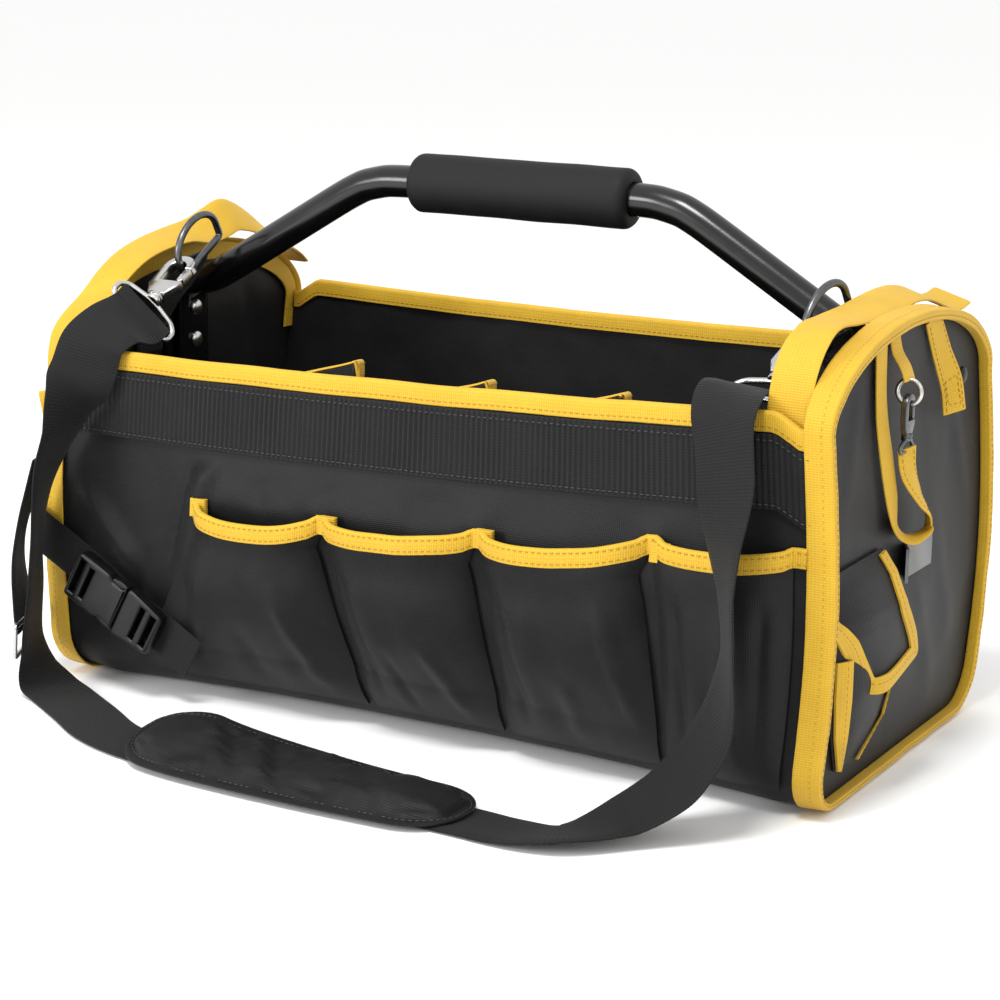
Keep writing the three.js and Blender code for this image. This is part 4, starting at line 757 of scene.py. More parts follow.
# Rims: yellow tape folded over the raw top edges of the front and the back, sewn through once.
# Tape is polyester grosgrain with fine ribs across it.
RIM_END, RIM_DEPTH, RIM_GAP, RIM_TAPE, RIM_BACK, RIM_SEAM = 231.5, 9.0, 0.6, 1.2, -3.8, -6.4
rim_u = np.linspace(-RIM_END, RIM_END, 121)
rim_turns = np.linspace(0, np.pi, 9)
for side, rim, wall_at, outward in (("front", front_rim, front_wall, -1), ("back", back_rim, back_face, 1)):
    top = rim(rim_u)
    bulge = outward * (wall_at(rim_u, top - RIM_DEPTH) - wall_at(rim_u, top))
    seat = np.stack([rim_u, wall_at(rim_u, top), top], 1)
    sway = ripple(seat, 40, 4.0) * 0.8 + ripple(seat, 14, 9.0) * 0.25
    rings = []
    for k in range(len(rim_u)):
        grip = RIM_GAP + bulge[k]
        outer = grip + RIM_TAPE
        fold_x = (outer + RIM_BACK) / 2 + (outer - RIM_BACK) / 2 * np.cos(rim_turns)
        section = np.concatenate([
            [(grip, 0.4 - RIM_DEPTH), (grip + 0.6, -RIM_DEPTH), (outer, 0.5 - RIM_DEPTH), (grip + 1.25, -5.0)],
            np.stack([fold_x, -0.6 + 2.4 * np.sin(rim_turns)], 1),
            [(RIM_BACK, -5.0), (RIM_BACK, 0.4 - RIM_DEPTH), (-3.2, -RIM_DEPTH), (-2.6, 0.4 - RIM_DEPTH)],
            [(-2.6, 0.2), (grip, 0.2)],
        ])
        place = seat[k] + np.array([0, 0, 0.5 * sway[k]])
        rings.append(place + section[:, :1] * np.array([0, outward, 0]) + section[:, 1:] * np.array([0, 0, 1]))
    rim_tape = loft(f"tape_rim_{side}", rings, tape_yellow)
    settle(rim_tape, "tape_yellow", f"{side}_rim_binding")
    rim_seams = [
        seat + np.stack([0 * top, outward * off, RIM_SEAM + 0.5 * sway], 1) for off in (1.9 + bulge, 0 * bulge - 3.9)
    ]
    sew(f"stitches_rim_{side}", rim_seams, thread_yellow, "tape_yellow")

# Band: wide black webbing sewn flat under the front rim, with heavy upright ribs about 3 mm apart.
# It stiffens the front and gives the pockets' tension something to pull on.
BAND_TOP, BAND_BOTTOM, BAND_THICKNESS, BAND_GAP = 9.8, 48.0, 1.5, 0.6
RIB_PITCH, RIB_HEIGHT, RIB_STEPS = 3.2, 0.42, 6
band_u = np.linspace(-RIM_END, RIM_END, int(2 * RIM_END / RIB_PITCH) * RIB_STEPS + 1)
band_drop = np.concatenate([[BAND_TOP], np.linspace(BAND_TOP + 1, BAND_BOTTOM - 1, 12), [BAND_BOTTOM]])
band_z = front_rim(band_u)[:, None] - band_drop
rib_waver = ripple(np.stack([band_u, 0 * band_u, 0 * band_u], 1), 9)
rib = RIB_HEIGHT * (np.cos(2 * np.pi * band_u / RIB_PITCH) + 0.3 * rib_waver)[:, None]
rib = rib * np.where((band_drop > BAND_TOP + 0.5) & (band_drop < BAND_BOTTOM - 0.5), 1, 0.2)
band_spots = np.stack([np.broadcast_to(band_u[:, None], band_z.shape), 0 * band_z, band_z], -1)
band_wave = ripple(band_spots, (60, 1, 40), 3.3) * 0.5
band_back = front_wall(band_u[:, None], band_z) - BAND_GAP
band_x = spread(band_u[:, None], band_z)
band_rings = np.concatenate([
    np.stack([band_x, band_back, band_z], -1),
    np.stack([band_x, band_back - BAND_THICKNESS - 0.2 - rib - np.maximum(band_wave, -0.2), band_z], -1)[:, ::-1],
], 1)
# This webbing gives a dull black too. Its big ribs are in the shape, and only its fine picks are in the material.
webbing_wide = woven("ribbed_webbing", "#080809", "#212122", 3.2, 1.6, 0.25, 0.7, rib_share=0.35)
band = loft("webbing_band", band_rings, webbing_wide, sheet=True)
settle(band, "webbing_black", "front_webbing_band")
band_seams, seam_u = [], band_u[::RIB_STEPS]
for drop in (BAND_TOP + 3.0, BAND_BOTTOM - 2.5):
    z = front_rim(seam_u) - drop
    band_seams.append(np.stack([spread(seam_u, z), front_wall(seam_u, z) - 2.9, z], 1))
sew("stitches_band", band_seams, thread_black, "webbing_black")

# Front pockets: four pleated pockets of black canvas, sewn to the body along slanting seams and at the foot.
# Each is cut wider than its place, so that it bulges, and its sides fold back to the seam.
# SEAMS are each seam's place at the mouth, its place at the foot and its height.
# POCKETS are each mouth's sag and depth.
SEAMS = [(-134, -186, 121), (-46, -30, 123.5), (50, 58, 129.5), (148, 155, 139), (225, 225, 142)]
POCKETS = [(6, 17), (2.5, 17), (4.5, 17), (3, 10)]
POCKET_FOOT, POCKET_OFF, POCKET_WALL, SEAM_HALF, TAPE_SHARE, PLEAT = 14.0, 0.9, 1.6, 3.0, 0.12, 6.0
POCKET_DROPS = [0, 0.12, 0.35, 0.6, 0.8, 0.91, 1]
POCKET_FULL = [0.8, 0.8, 1, 0.85, 0.5, 0.25, 0.06]
POCKET_CREASES = [
    [(0.12, 0.35, 0.3, 1.0, -2.0, 0.05), (0.72, 0.3, 0.9, 1.0, 2.4, 0.05), (0.45, 0.55, 0.6, 1.0, -1.2, 0.05)],
    [(0.08, 0.1, 0.16, 0.95, -2.2, 0.05), (0.6, 0.5, 0.85, 1.0, 1.8, 0.06), (0.3, 0.6, 0.42, 1.0, -1.2, 0.05)],
    [(0.1, 0.2, 0.18, 0.95, -2.0, 0.05), (0.78, 0.2, 0.93, 0.9, 2.2, 0.05), (0.5, 0.6, 0.55, 1.0, 1.2, 0.06)],
    [(0.15, 0.1, 0.2, 0.9, -2.2, 0.06), (0.5, 0.2, 0.62, 0.95, 2.0, 0.07), (0.82, 0.1, 0.8, 0.9, -1.6, 0.06)],
]


def crown(share, squareness):
    return 1 - np.abs(2 * share - 1) ** squareness


def front_pocket(i, share, drop, full):
    """Places on a pocket's face: a share of its width, a share of the way down it and how full it is there."""
    (top0, foot0, mouth0), (top1, foot1, mouth1) = SEAMS[i], SEAMS[i + 1]
    sag, depth = POCKETS[i]
    lean = np.maximum(0, drop - TAPE_SHARE) / (1 - TAPE_SHARE)
    left = top0 + (foot0 - top0) * lean + SEAM_HALF
    pleat = PLEAT * np.clip((drop - 0.07) / 0.08, 0, 1) * (1 - drop) * (i < 3)
    right = top1 + (foot1 - top1) * lean - SEAM_HALF - pleat
    mouth = mouth0 + (mouth1 - mouth0) * share - sag * crown(share, 2)
    u = left + (right - left) * share
    z = mouth + (POCKET_FOOT - mouth) * drop
    out = POCKET_OFF + depth * full * crown(share, 4)
    return np.stack([spread(u, z), front_face(u, z) - out, z], -1)


def smooth_rows(values, times):
    """Values with their corners rounded, their first and last kept."""
    values = np.array(values, float)
    for _ in range(times):
        values[1:-1] = (values[:-2] + 2 * values[1:-1] + values[2:]) / 4
    return values


pocket_drop = np.linspace(0, 1, 61)
pocket_share = (1 - np.cos(np.pi * np.linspace(0, 1, 73))) / 2
pocket_full = smooth_rows(np.interp(pocket_drop, POCKET_DROPS, POCKET_FULL), 20)
for i in range(len(POCKETS)):
    share, drop = pocket_share[:, None], pocket_drop[None, :]
    face = front_pocket(i, share, drop, pocket_full[None, :])
    wave = ripple(face, (22, 60, 70), 10.0 + i) * 1.5 + ripple(face, (9, 30, 22), 20.0 + i) * 0.45
    wave += 1.4 * folds(share, drop, POCKET_CREASES[i])
    wave *= np.clip(drop * 6 - 0.6, 0, 1) * np.clip((1 - drop) * 8, 0, 1) * crown(share, 6)
    face[..., 1] -= wave
    pocket = loft(f"canvas_pocket_{i + 1}", thick(face, -POCKET_WALL), canvas_black, sheet=True)
    settle(pocket, "canvas_black", f"front_pocket_{i + 1}")

# Mouth tape: yellow tape folded over the pockets' mouths in one run, pinched into a small upright fold at each seam.
# It carries two rows of stitches and sags between the seams with the canvas.
MOUTH_DEPTH, MOUTH_SEAMS = 8.5, (-2.8, 3.2)


def mouth_tape(name, mouths, facing, slot_node, pinch):
    """Tape over a row of mouths: on the side away from the wall it hangs down, and it rolls over the edge."""
    mouths = np.asarray(mouths)
    step = np.gradient(mouths, axis=0)
    away = unit(np.stack([step[:, 1], -step[:, 0], 0 * step[:, 0]], 1)) * facing
    section = np.array([
        (2.3, -MOUTH_DEPTH + 0.3), (2.8, -MOUTH_DEPTH), (3.3, -MOUTH_DEPTH + 0.4), (3.4, -3.5), (3.3, 0.4), (2.6, 1.5),
        (1.4, 1.9), (0.3, 1.5), (0.0, 0.9), (0.6, 0.6), (2.2, 0.5), (2.3, -3.0),
    ])
    sway = ripple(mouths, 18, 6.0) * 0.5
    rings = mouths[:, None] + away[:, None] * section[:, :1] + np.array([0, 0, 1]) * section[:, 1:]
    rings[..., 2] += (sway + pinch)[:, None]
    rings += away[:, None] * (sway * 0.5)[:, None, None]
    tape = loft(name, rings, tape_yellow)
    settle(tape, "tape_yellow", slot_node)
    lines = [rings[:, 3] + away * 0.1 + np.array([0, 0, rise]) for rise in MOUTH_SEAMS]
    sew("stitches_" + name, lines, thread_yellow, "tape_yellow")


mouths, pinches = [], []
for i in range(len(POCKETS)):
    mouths.append(front_pocket(i, pocket_share, np.zeros(73), np.full(73, POCKET_FULL[0])))
    pinch_left, pinch_right = np.exp((pocket_share - 0.06) / 0.012), np.exp((0.965 - pocket_share) / 0.008)
    pinches.append(1.6 / (1 + pinch_left) + 1.2 / (1 + pinch_right))
# Past the last pocket the tape runs on flat to the fin.
FLAT_U, FLAT_HEIGHT = np.array([226.0, 227.5, 229.0, 230.5]), 143.5
mouths.append(np.stack([
    spread(FLAT_U, FLAT_HEIGHT), front_face(FLAT_U, FLAT_HEIGHT) - POCKET_OFF, np.full(len(FLAT_U), FLAT_HEIGHT)
], 1))
pinches.append(np.zeros(len(FLAT_U)))
mouth_tape("tape_pocket_mouths", np.concatenate(mouths), 1, "front_pocket_binding", np.concatenate(pinches))

# Seam tabs: the mouth tape's spare length at each seam, yellow tape folded double into a small flat tab.
# Each is caught in the seam below and stands above the mouth, leaning a little.
TAB_HALF, TAB_THICKNESS, TAB_RISES = 5.6, 3.4, np.linspace(-2, 8.4, 12)
TAB_DROPS = (-4.5, -4.5, -4.5, -8.5)
for i, drop in enumerate(TAB_DROPS):
    foot = mouths[i][0] + np.array([2.5, -3.4, drop])
    tab_rings = []
    for rise in TAB_RISES:
        outline = np.array(rounded(TAB_HALF - 0.03 * rise, TAB_THICKNESS / 2, 1.1, 3))
        lean = 0.05 * rise
        flat = [outline[:, 0] + lean, outline[:, 1] - 0.6 * lean, np.full(len(outline), rise)]
        tab_rings.append(foot + np.column_stack(flat))
    seam_tab = loft(f"tape_seam_tab_{i + 1}", tab_rings, tape_yellow)
    settle(seam_tab, "tape_yellow")

# Inner pockets: three canvas pockets inside the front wall, each mouth taped and rising to its right-hand seam.
# Their yellow mouths peep over the front rim.
INNER_SEAMS, INNER_RISE = [-150, -36, 46, 127], (20, 15, 14)
INNER_FOOT, INNER_MOUTH, INNER_OFF, INNER_DEPTH, INNER_SKEW = 70.0, 12, 2.6, 24.0, 3.0


def inner_pocket(i, share, drop):
    u = INNER_SEAMS[i] + SEAM_HALF + (INNER_SEAMS[i + 1] - INNER_SEAMS[i] - 2 * SEAM_HALF) * share
    mouth = front_rim(u) - INNER_MOUTH + INNER_RISE[i] * share**2
    z = mouth + (INNER_FOOT - mouth) * drop
    full = np.where(drop < 0.5, 1 - 0.2 * np.clip(drop - 0.15, 0, 1) / 0.35, 0.8 - 1.4 * (drop - 0.5))
    out = INNER_OFF + INNER_DEPTH * full * crown(share**INNER_SKEW, 3)
    return np.stack([spread(u, z), front_wall(u, z) + CANVAS_THICKNESS + out, z], -1)


inner_mouths = []
inner_share = np.linspace(0, 1, 41)
for i in range(len(INNER_RISE)):
    face = inner_pocket(i, inner_share[:, None], inner_share[None, :])
    slack = 1.2 * crown(inner_share, 4)[:, None] * np.clip(inner_share * 6 - 0.6, 0, 1)
    face[..., 1] += ripple(face, (24, 40, 50), 30.0 + i) * slack
    pocket = loft(f"canvas_inner_pocket_{i + 1}", thick(face, POCKET_WALL), canvas_black, sheet=True)
    settle(pocket, "canvas_black", f"inner_pocket_{i + 1}")
    inner_mouths.append(inner_pocket(i, inner_share, np.zeros(41)))
    inner_mouths.append(inner_mouths[-1][-1:] + np.array([SEAM_HALF / 2, 0, 0]))
inner_mouths = np.concatenate(inner_mouths)
mouth_tape("tape_inner_mouths", inner_mouths, -1, "inner_pocket_binding", np.zeros(len(inner_mouths)))


# Handle: one bent steel tube, 19 mm across, powder coated satin black, its ends pressed flat into grooved legs.
# Steel brackets behind the legs spread the load on the end walls, and two rivets go through each.
def satin(name, dark, light, roughness, grain, relief, gloss=0.5):
    """A hard coated or moulded surface: almost one colour, with a fine even grain `grain` mm wide."""
    material, tree, shader = new_material(name)
    wear = speckle(tree, 45.0, 4.0)
    tint(tree, shader, wear, dark, light)
    surface(tree, shader, wear, roughness - 0.07, roughness + 0.07, speckle(tree, 1 / (grain * MM), 3.0), relief, 0.6)
    shader.inputs["Specular IOR Level"].default_value = gloss
    return material


# Powder coat gives a deep black with long soft highlights along the tube.
painted_steel = satin("powder_coated_steel", "#070708", "#0E0E0F", 0.2, 1.1, 0.03)
TUBE_RADIUS = 9.5
HALF_HANDLE = [
    (230.1, 176, 3.3, 14), (230.1, 196, 3.3, 14), (230.1, 215.5, 3.3, 14),
    (228, 220.5, 5, 13.2), (221.5, 225.5, 7.8, 11),
    *[(x, z, TUBE_RADIUS, TUBE_RADIUS) for x, z in (
        (210, 230.5), (163, 258.5), (116, 286.5), (103, 293), (88, 296.4), (72, 297)
    )],
]
handle_rows = np.array([(-x, z, half, wide) for x, z, half, wide in HALF_HANDLE] + HALF_HANDLE[::-1], float)
handle_at, handle_knots = np.linspace(0, 1, 301), np.linspace(0, 1, len(handle_rows))
handle_line = smooth_rows(np.stack([np.interp(handle_at, handle_knots, row) for row in handle_rows.T], 1), 16)
handle_along = unit(np.gradient(handle_line[:, :2], axis=0))
tube_turns = np.linspace(0, 2 * np.pi, 40, endpoint=False)
tube_cos, tube_sin = np.cos(tube_turns), np.sin(tube_turns)
handle_rings = []
for (x, z, half, wide), (ax, az) in zip(handle_line, handle_along):
    flat = np.clip((TUBE_RADIUS - half) / 6.2, 0, 1)
    groove = flat * 0.55 * np.cos(tube_sin * 3 * np.pi)
    through = np.sign(tube_cos) * np.abs(tube_cos) ** (1 - 0.5 * flat) * (half + groove * np.abs(tube_cos))
    handle_rings.append(
        np.array([x, 0, z]) + np.outer(through, [-az, 0, ax]) + np.outer(tube_sin * wide, [0, 1, 0])
    )
tube = loft("steel_tube", handle_rings, painted_steel)
settle(tube, "painted_steel", "handle_tube")

BRACKET_FACE, BRACKET_BACK, BRACKET_MIDDLE = 233.8, 235.8, 197
y, z = np.meshgrid(np.linspace(-22, 22, 67), np.linspace(170, 224, 19), indexing="ij")
bracket_ribs = 0.8 * np.exp(-(((np.abs(y) - 17) / 1.6) ** 2)) * np.clip((27 - np.abs(z - BRACKET_MIDDLE)) / 4, 0, 1)
for side, sign in SIDES:
    face = np.stack([sign * (BRACKET_FACE - bracket_ribs), y, z], -1)
    back = np.stack([np.full_like(y, sign * BRACKET_BACK), y, z], -1)
    bracket = loft(f"steel_bracket_{side}", np.concatenate([face, back[:, ::-1]], 1), painted_steel, sheet=True)
    settle(bracket, "painted_steel", f"handle_bracket_{side}")

# Rivets: domed nickel-plated heads, two on each leg, driven through the leg, the bracket and the end wall.
# One node tree sets them on the places where they are driven.
RIVET_X, RIVET_HEIGHTS, RIVET_SIZE = 226.5, (189, 209), (4.8, 10.0, 10.0)
rivet_places = bpy.data.meshes.new("rivet_places")
rivet_places.from_pydata([(sign * RIVET_X * MM, 0, z * MM) for _, sign in SIDES for z in RIVET_HEIGHTS], [], [])
rivets = set_balls("rivet_heads", rivet_places, ball_tree("rivet_heads", 28, 16), RIVET_SIZE, nickel)
settle(rivets, "nickel", *[f"handle_rivet_{side}_{k}" for side in ("left", "right") for k in (1, 2)])

# Grip: a sleeve of black closed-cell foam pushed over the straight of the tube, with rounded ends.
# Its skin is dull and very slightly dimpled.
foam_black = satin("closed_cell_foam", "#0C0C0D", "#161616", 0.66, 1.6, 0.14, 0.25)
GRIP_RADIUS, GRIP_HALF, GRIP_ROUND, GRIP_HEIGHT, GRIP_BORE, GRIP_SHIFT = 17.0, 70.0, 5.0, 297.0, 9.9, 3.0
grip_turns = np.linspace(0, np.pi / 2, 7)
grip_in, grip_low = GRIP_ROUND * (1 - np.cos(grip_turns)), GRIP_ROUND * (1 - np.sin(grip_turns))
grip_x = np.concatenate([
    [-GRIP_HALF], -GRIP_HALF + grip_in, np.linspace(-62, 62, 41), GRIP_HALF - grip_in[::-1], [GRIP_HALF]
])
grip_r = np.concatenate([
    [GRIP_BORE], GRIP_RADIUS - grip_low, np.full(41, GRIP_RADIUS), GRIP_RADIUS - grip_low[::-1], [GRIP_BORE]
])
grip_round = np.linspace(0, 2 * np.pi, 56, endpoint=False)
grip_rings = np.stack([
    np.broadcast_to(grip_x[:, None] + GRIP_SHIFT, (len(grip_x), 56)), grip_r[:, None] * np.cos(grip_round),
    GRIP_HEIGHT + grip_r[:, None] * np.sin(grip_round),
], -1)
grip_dent = ripple(grip_rings, 26, 8.0) * 0.3 * (grip_r > GRIP_RADIUS - 0.5)[:, None]
grip_rings[..., 1] += grip_dent * np.cos(grip_round)
grip_rings[..., 2] += grip_dent * np.sin(grip_round)
grip = loft("foam_grip", grip_rings, foam_black, closed=True)
settle(grip, "foam_black", "handle_grip")


# Arch bands: yellow webbing laid over each end arch, sewn down at the front rim, with a free tail behind.
# The left one is slack and stands up in a sharp crease. The right one comes from behind the rim and its tail turns up.
def strip_piece(name, rows, width, thickness, steps, material, slot, node, columns=7, sway=0.0):
    """A flat strip through rows of x, y, z and a width direction, that stands for one node. Gives its frames."""
    frames = strip_frames(rows, steps)
    rings = webbing_rings(frames, width, thickness, columns)
    if sway:
        rings = rings + frames[2][:, None] * (ripple(rings, 22, 12.0) * sway)[..., None]
    settle(loft(name, rings, material, sheet=True), slot, node)
    return frames


def edge_lines(frames, width, rise, inset, ends=1):
    """Two lines of sewing near a strip's edges, `rise` mm above its middle plane."""
    centre, across, facing = (part[ends:-ends] for part in frames)
    return [centre + across * side * (width / 2 - inset) + facing * rise for side in (-1, 1)]


# Each band has its two edges along x, and rows of y, z and tilt.
ARCH_BANDS = [
    ("left", -243, -218, [
        (-122.8, 194, 0), (-122.8, 203, 0), (-119.5, 216, 0), (-107, 230, 0), (-80, 243.5, 0), (-45, 251, 0.1),
        (-15, 254.5, 0.25), (10, 255, 0.6), (26, 258.5, 0.9), (40, 262, 1), (52, 260, 1), (72, 252.5, 0.8),
        (90, 243, 0.5), (104, 234, 0.2), (112, 226, 0),
    ]),
    ("right", 206.5, 230, [
        (-113, 197, 0), (-113, 211, 0), (-111.5, 219, 0), (-107, 230, 0), (-95, 242.5, 0), (-78, 249.6, 0),
        (-52, 249.8, 0.1), (-25, 249.6, 0.2), (8, 251.6, 0.25), (40, 252.2, 0.25), (61, 249.6, 0.28),
        (80, 244.6, 0.3), (97, 240.2, 0.3), (109, 239.6, 0.3), (121, 241.2, 0.3),
    ]),
]
for side, start, end, rows in ARCH_BANDS:
    band_rows = [((start + end) / 2, y, z, 1, 0, -tilt) for y, z, tilt in rows]
    band_frames = strip_piece(
        f"tape_arch_{side}", band_rows, end - start, 2.0, 150, tape_yellow, "tape_yellow", f"arch_band_{side}", 9, 0.35
    )
    sew(f"stitches_arch_{side}", edge_lines(band_frames, end - start, 1.1, 3.2), thread_yellow, "tape_yellow")

# Sunk arch: the left end's canvas, tape and band are slack, and all of them sink together at the front shoulder.
# The sewn layers are moved down as one, so that they stay on each other.
SUNK_BY, SUNK_AT, SUNK_SPAN, SUNK_FROM, SUNK_OVER = 12, -101, 32, 170, 36
for name in ("canvas_end", "tape_end", "stitches_end", "tape_end_inside", "tape_arch", "stitches_arch"):
    sunk = bpy.data.objects[name + "_left"].data
    spots = np.array([spot.co for spot in sunk.vertices])
    y, z = spots[:, 1] / MM, spots[:, 2] / MM
    near = np.exp(-(((y - SUNK_AT) / SUNK_SPAN) ** 2))
    spots[:, 2] -= SUNK_BY * MM * near * np.clip((z - SUNK_FROM) / SUNK_OVER, 0, 1)
    sunk.vertices.foreach_set("co", spots.ravel())
    sunk.update()

# Arch button: a short length of yellow tape rolled up into a soft toggle.
# It is sewn to the inside of the right arch, under the band.
BUTTON_AT, BUTTON_LEAN, BUTTON_HALF, BUTTON_RADIUS = np.array([232.0, -74.0, 227.0]), math.radians(55), 9.8, 6
button_along = np.array([0, math.cos(BUTTON_LEAN), math.sin(BUTTON_LEAN)])
button_side = np.array([0, -math.sin(BUTTON_LEAN), math.cos(BUTTON_LEAN)])
button_turns = np.linspace(0, 2 * np.pi, 24, endpoint=False)
button_rings = []
for along in np.linspace(-1, 1, 25):
    size = BUTTON_RADIUS * (1 - abs(along) ** 5) ** 0.5 * (1 - 0.08 * math.cos(9 * along)) + 0.2
    button_rings.append(
        BUTTON_AT + button_along * along * BUTTON_HALF + np.outer(np.cos(button_turns) * size * 0.5, [1, 0, 0])
        + np.outer(np.sin(button_turns) * size, button_side)
    )
button = loft("tape_button", button_rings, tape_yellow)
settle(button, "tape_yellow", "arch_button")

# D-rings: bent steel wire, dark plated, one at each end, held in a folded tab of black webbing.
# The tabs are sewn to the end walls under the arches. Dark plating gives a grey metal with dim, broad highlights.
gunmetal = plated("dark_plated_steel", "#4A4B4D", "#77797B", 0.3, 3.0)


def wire(name, path, radius, normal, material):
    """A round wire along a closed flat path in mm, whose plane has that normal."""
    path, normal = np.asarray(path, float), np.asarray(normal, float)
    side = np.cross(unit(np.roll(path, -1, 0) - np.roll(path, 1, 0)), normal)
    turns = np.linspace(0, 2 * np.pi, 14, endpoint=False)
    rings = path[:, None] + radius * (np.cos(turns)[:, None] * normal + np.sin(turns)[:, None] * side[:, None])
    return loft(name, rings, material, closed=True)


RING_LEAN = 30


def leaning_frame(yaw):
    turn = Matrix.Rotation(math.radians(yaw), 3, "Z") @ Matrix.Rotation(math.radians(RING_LEAN), 3, "X")
    return np.array(turn).T


D_HALF, D_LEG, D_HEIGHT, D_WIRE, D_CORNER = 21.0, 9.5, 24.0, 2.2, 2.5
d_turns = np.linspace(0, np.pi, 31)
d_cos, d_sin = (D_CORNER * (1 - curve(np.linspace(0, np.pi / 2, 5))) for curve in (np.cos, np.sin))
d_outline = np.concatenate([
    np.stack([D_HALF * np.cos(d_turns), D_LEG + (D_HEIGHT - D_LEG) * np.sin(d_turns)], 1),
    np.stack([-D_HALF + d_cos, d_sin], 1), np.stack([np.linspace(-14, 14, 9), np.zeros(9)], 1),
    np.stack([D_HALF - d_sin, d_cos], 1),
])
RINGS = [("left", (-202, -27, 246), 0), ("right", (201, -20, 239), -10)]
RING_TAB_WIDTH = 26
RING_TABS = {
    "left": [(-206.2, -27.5, 247, 0, 0.87, 0.5), (-207.5, -27, 240, 0, 0.9, 0.45), (-213.5, -30, 228, 0, 0.95, 0.3),
             (-224, -35, 214, 0, 1, 0.1), (-232.2, -38, 200, 0, 1, 0), (-234.6, -38, 186, 0, 1, 0)],
    "right": [(204.5, -23, 235.6, 0.15, 0.86, 0.5), (206.4, -22.5, 230, 0.15, 0.88, 0.45),
              (212, -27.5, 223, 0.1, 0.95, 0.3), (223.5, -34, 213, 0, 1, 0.1), (232.2, -38, 200, 0, 1, 0),
              (234.6, -38, 186, 0, 1, 0)],
}
for side, place, yaw in RINGS:
    x_axis, b_axis, a_axis = leaning_frame(yaw)
    ring_path = np.array(place) + np.outer(d_outline[:, 0], b_axis) + np.outer(d_outline[:, 1], a_axis)
    settle(wire(f"wire_d_ring_{side}", ring_path, D_WIRE, x_axis, gunmetal), "gunmetal", f"d_ring_{side}")
    tab_frames = strip_piece(
        f"webbing_tab_{side}", RING_TABS[side], RING_TAB_WIDTH, 2.0, 60, webbing_black, "webbing_black",
        f"d_ring_tab_{side}", 9
    )
    sew(f"stitches_tab_{side}", edge_lines(tab_frames, RING_TAB_WIDTH, 1.1, 3.0, 4), thread_black, "webbing_black")


# Spring hooks: die-cast, nickel plated, with a swivel barrel and a wire loop that carries the strap.
# The left hook's gate turns on a pin in the body, and a spring keeps it shut.
def arc(x, y, radius, start, end):
    turns = np.linspace(math.radians(start), math.radians(end), 13)
    return [(x + radius * math.cos(t), y + radius * math.sin(t)) for t in turns]


def turned(name, profile, foot, along, side, up, material):
    """A round solid: rows of a distance from its foot and the radius there."""
    turns = np.linspace(0, 2 * np.pi, 28, endpoint=False)
    around = np.outer(np.cos(turns), side) + np.outer(np.sin(turns), up)
    return loft(name, [foot + along * far + radius * around for far, radius in profile], material)


HOOK_WIDTH, HOOK_SLOT, HOOK_BASE, HOOK_THICKNESS = 10.5, 5.5, 28.0, 6.0
HOOK_EYE = [(-HOOK_SLOT, -15.5), (HOOK_SLOT, -15.5), (HOOK_SLOT, -3), *arc(0, -3, HOOK_SLOT, 0, 180)[1:]]
HOOK_CLOSED = [(-6, -HOOK_BASE), (6, -HOOK_BASE), (HOOK_WIDTH, -20), (HOOK_WIDTH, -2.5),
               *arc(0, -2.5, HOOK_WIDTH, 0, 180)[1:], (-HOOK_WIDTH, -20)]
HOOK_OPEN = [(-6, -HOOK_BASE), (6, -HOOK_BASE), (HOOK_WIDTH, -20), (HOOK_WIDTH, -15.5), (-HOOK_SLOT, -15.5),
             *arc(0, -3, HOOK_SLOT, 180, 0), (HOOK_SLOT, -3.5), (HOOK_WIDTH, -3.5), *arc(0, -2.5, HOOK_WIDTH, 0, 180),
             (-HOOK_WIDTH, -20)]
GATE_PIVOT, GATE_HALF, GATE_TOP, GATE_THICKNESS = (8.0, -13.0), 2.1, 9.1, 5.0
GATE = [(GATE_HALF, 0), (GATE_HALF, GATE_TOP), (-GATE_HALF, GATE_TOP), (-GATE_HALF, 0),
        *arc(0, 0, GATE_HALF, 180, 360)[1:-1]]
LOOP_WIRE, LOOP_HALF, LOOP_DROP, LOOP_SWING = 1.7, 21.5, 48, math.radians(55)
BARREL = 6.0
BARREL_PROFILE = [
    (0, 3.6), (0, 4.6), (0.5, 5), (2.2, 5), (2.6, 4.4), (3.2, 4.4), (3.6, 5), (5.5, 5), (BARREL, 4.6), (BARREL, 3.6)
]


def swivel_loop(name, basis, origin, half, drop, material, scale=1.0, shift=0.0):
    """A wire loop and its barrel, as two pieces, below a hook's base in the hook's own axes."""
    x_axis, y_axis, z_axis = (np.asarray(axis, float) * scale for axis in basis)
    base = shift - HOOK_BASE - 0.3
    top, foot = base - BARREL + 1, shift - drop
    right = [(3, top), (half - 5, top - 2.5), (half, top - 7), (half, foot + 2), (half - 2, foot)]
    outline = soften(right + [(-x, y) for x, y in right[::-1]], 2.6, 4)
    path = np.asarray(origin) + np.outer(outline[:, 0], x_axis) + np.outer(outline[:, 1], y_axis)
    loop = wire(name, path, LOOP_WIRE * scale, unit(z_axis), material)
    return loop, turned(name + "_barrel", BARREL_PROFILE, origin + y_axis * base, -y_axis, x_axis, z_axis, material)


def hook_gate(name, basis, origin, material, slot, node):
    pivot = origin + GATE_PIVOT[0] * basis[0] + GATE_PIVOT[1] * basis[1]
    settle(plate(name, GATE, GATE_THICKNESS, basis, pivot, material, bevel=0.7), slot, node, body=node)


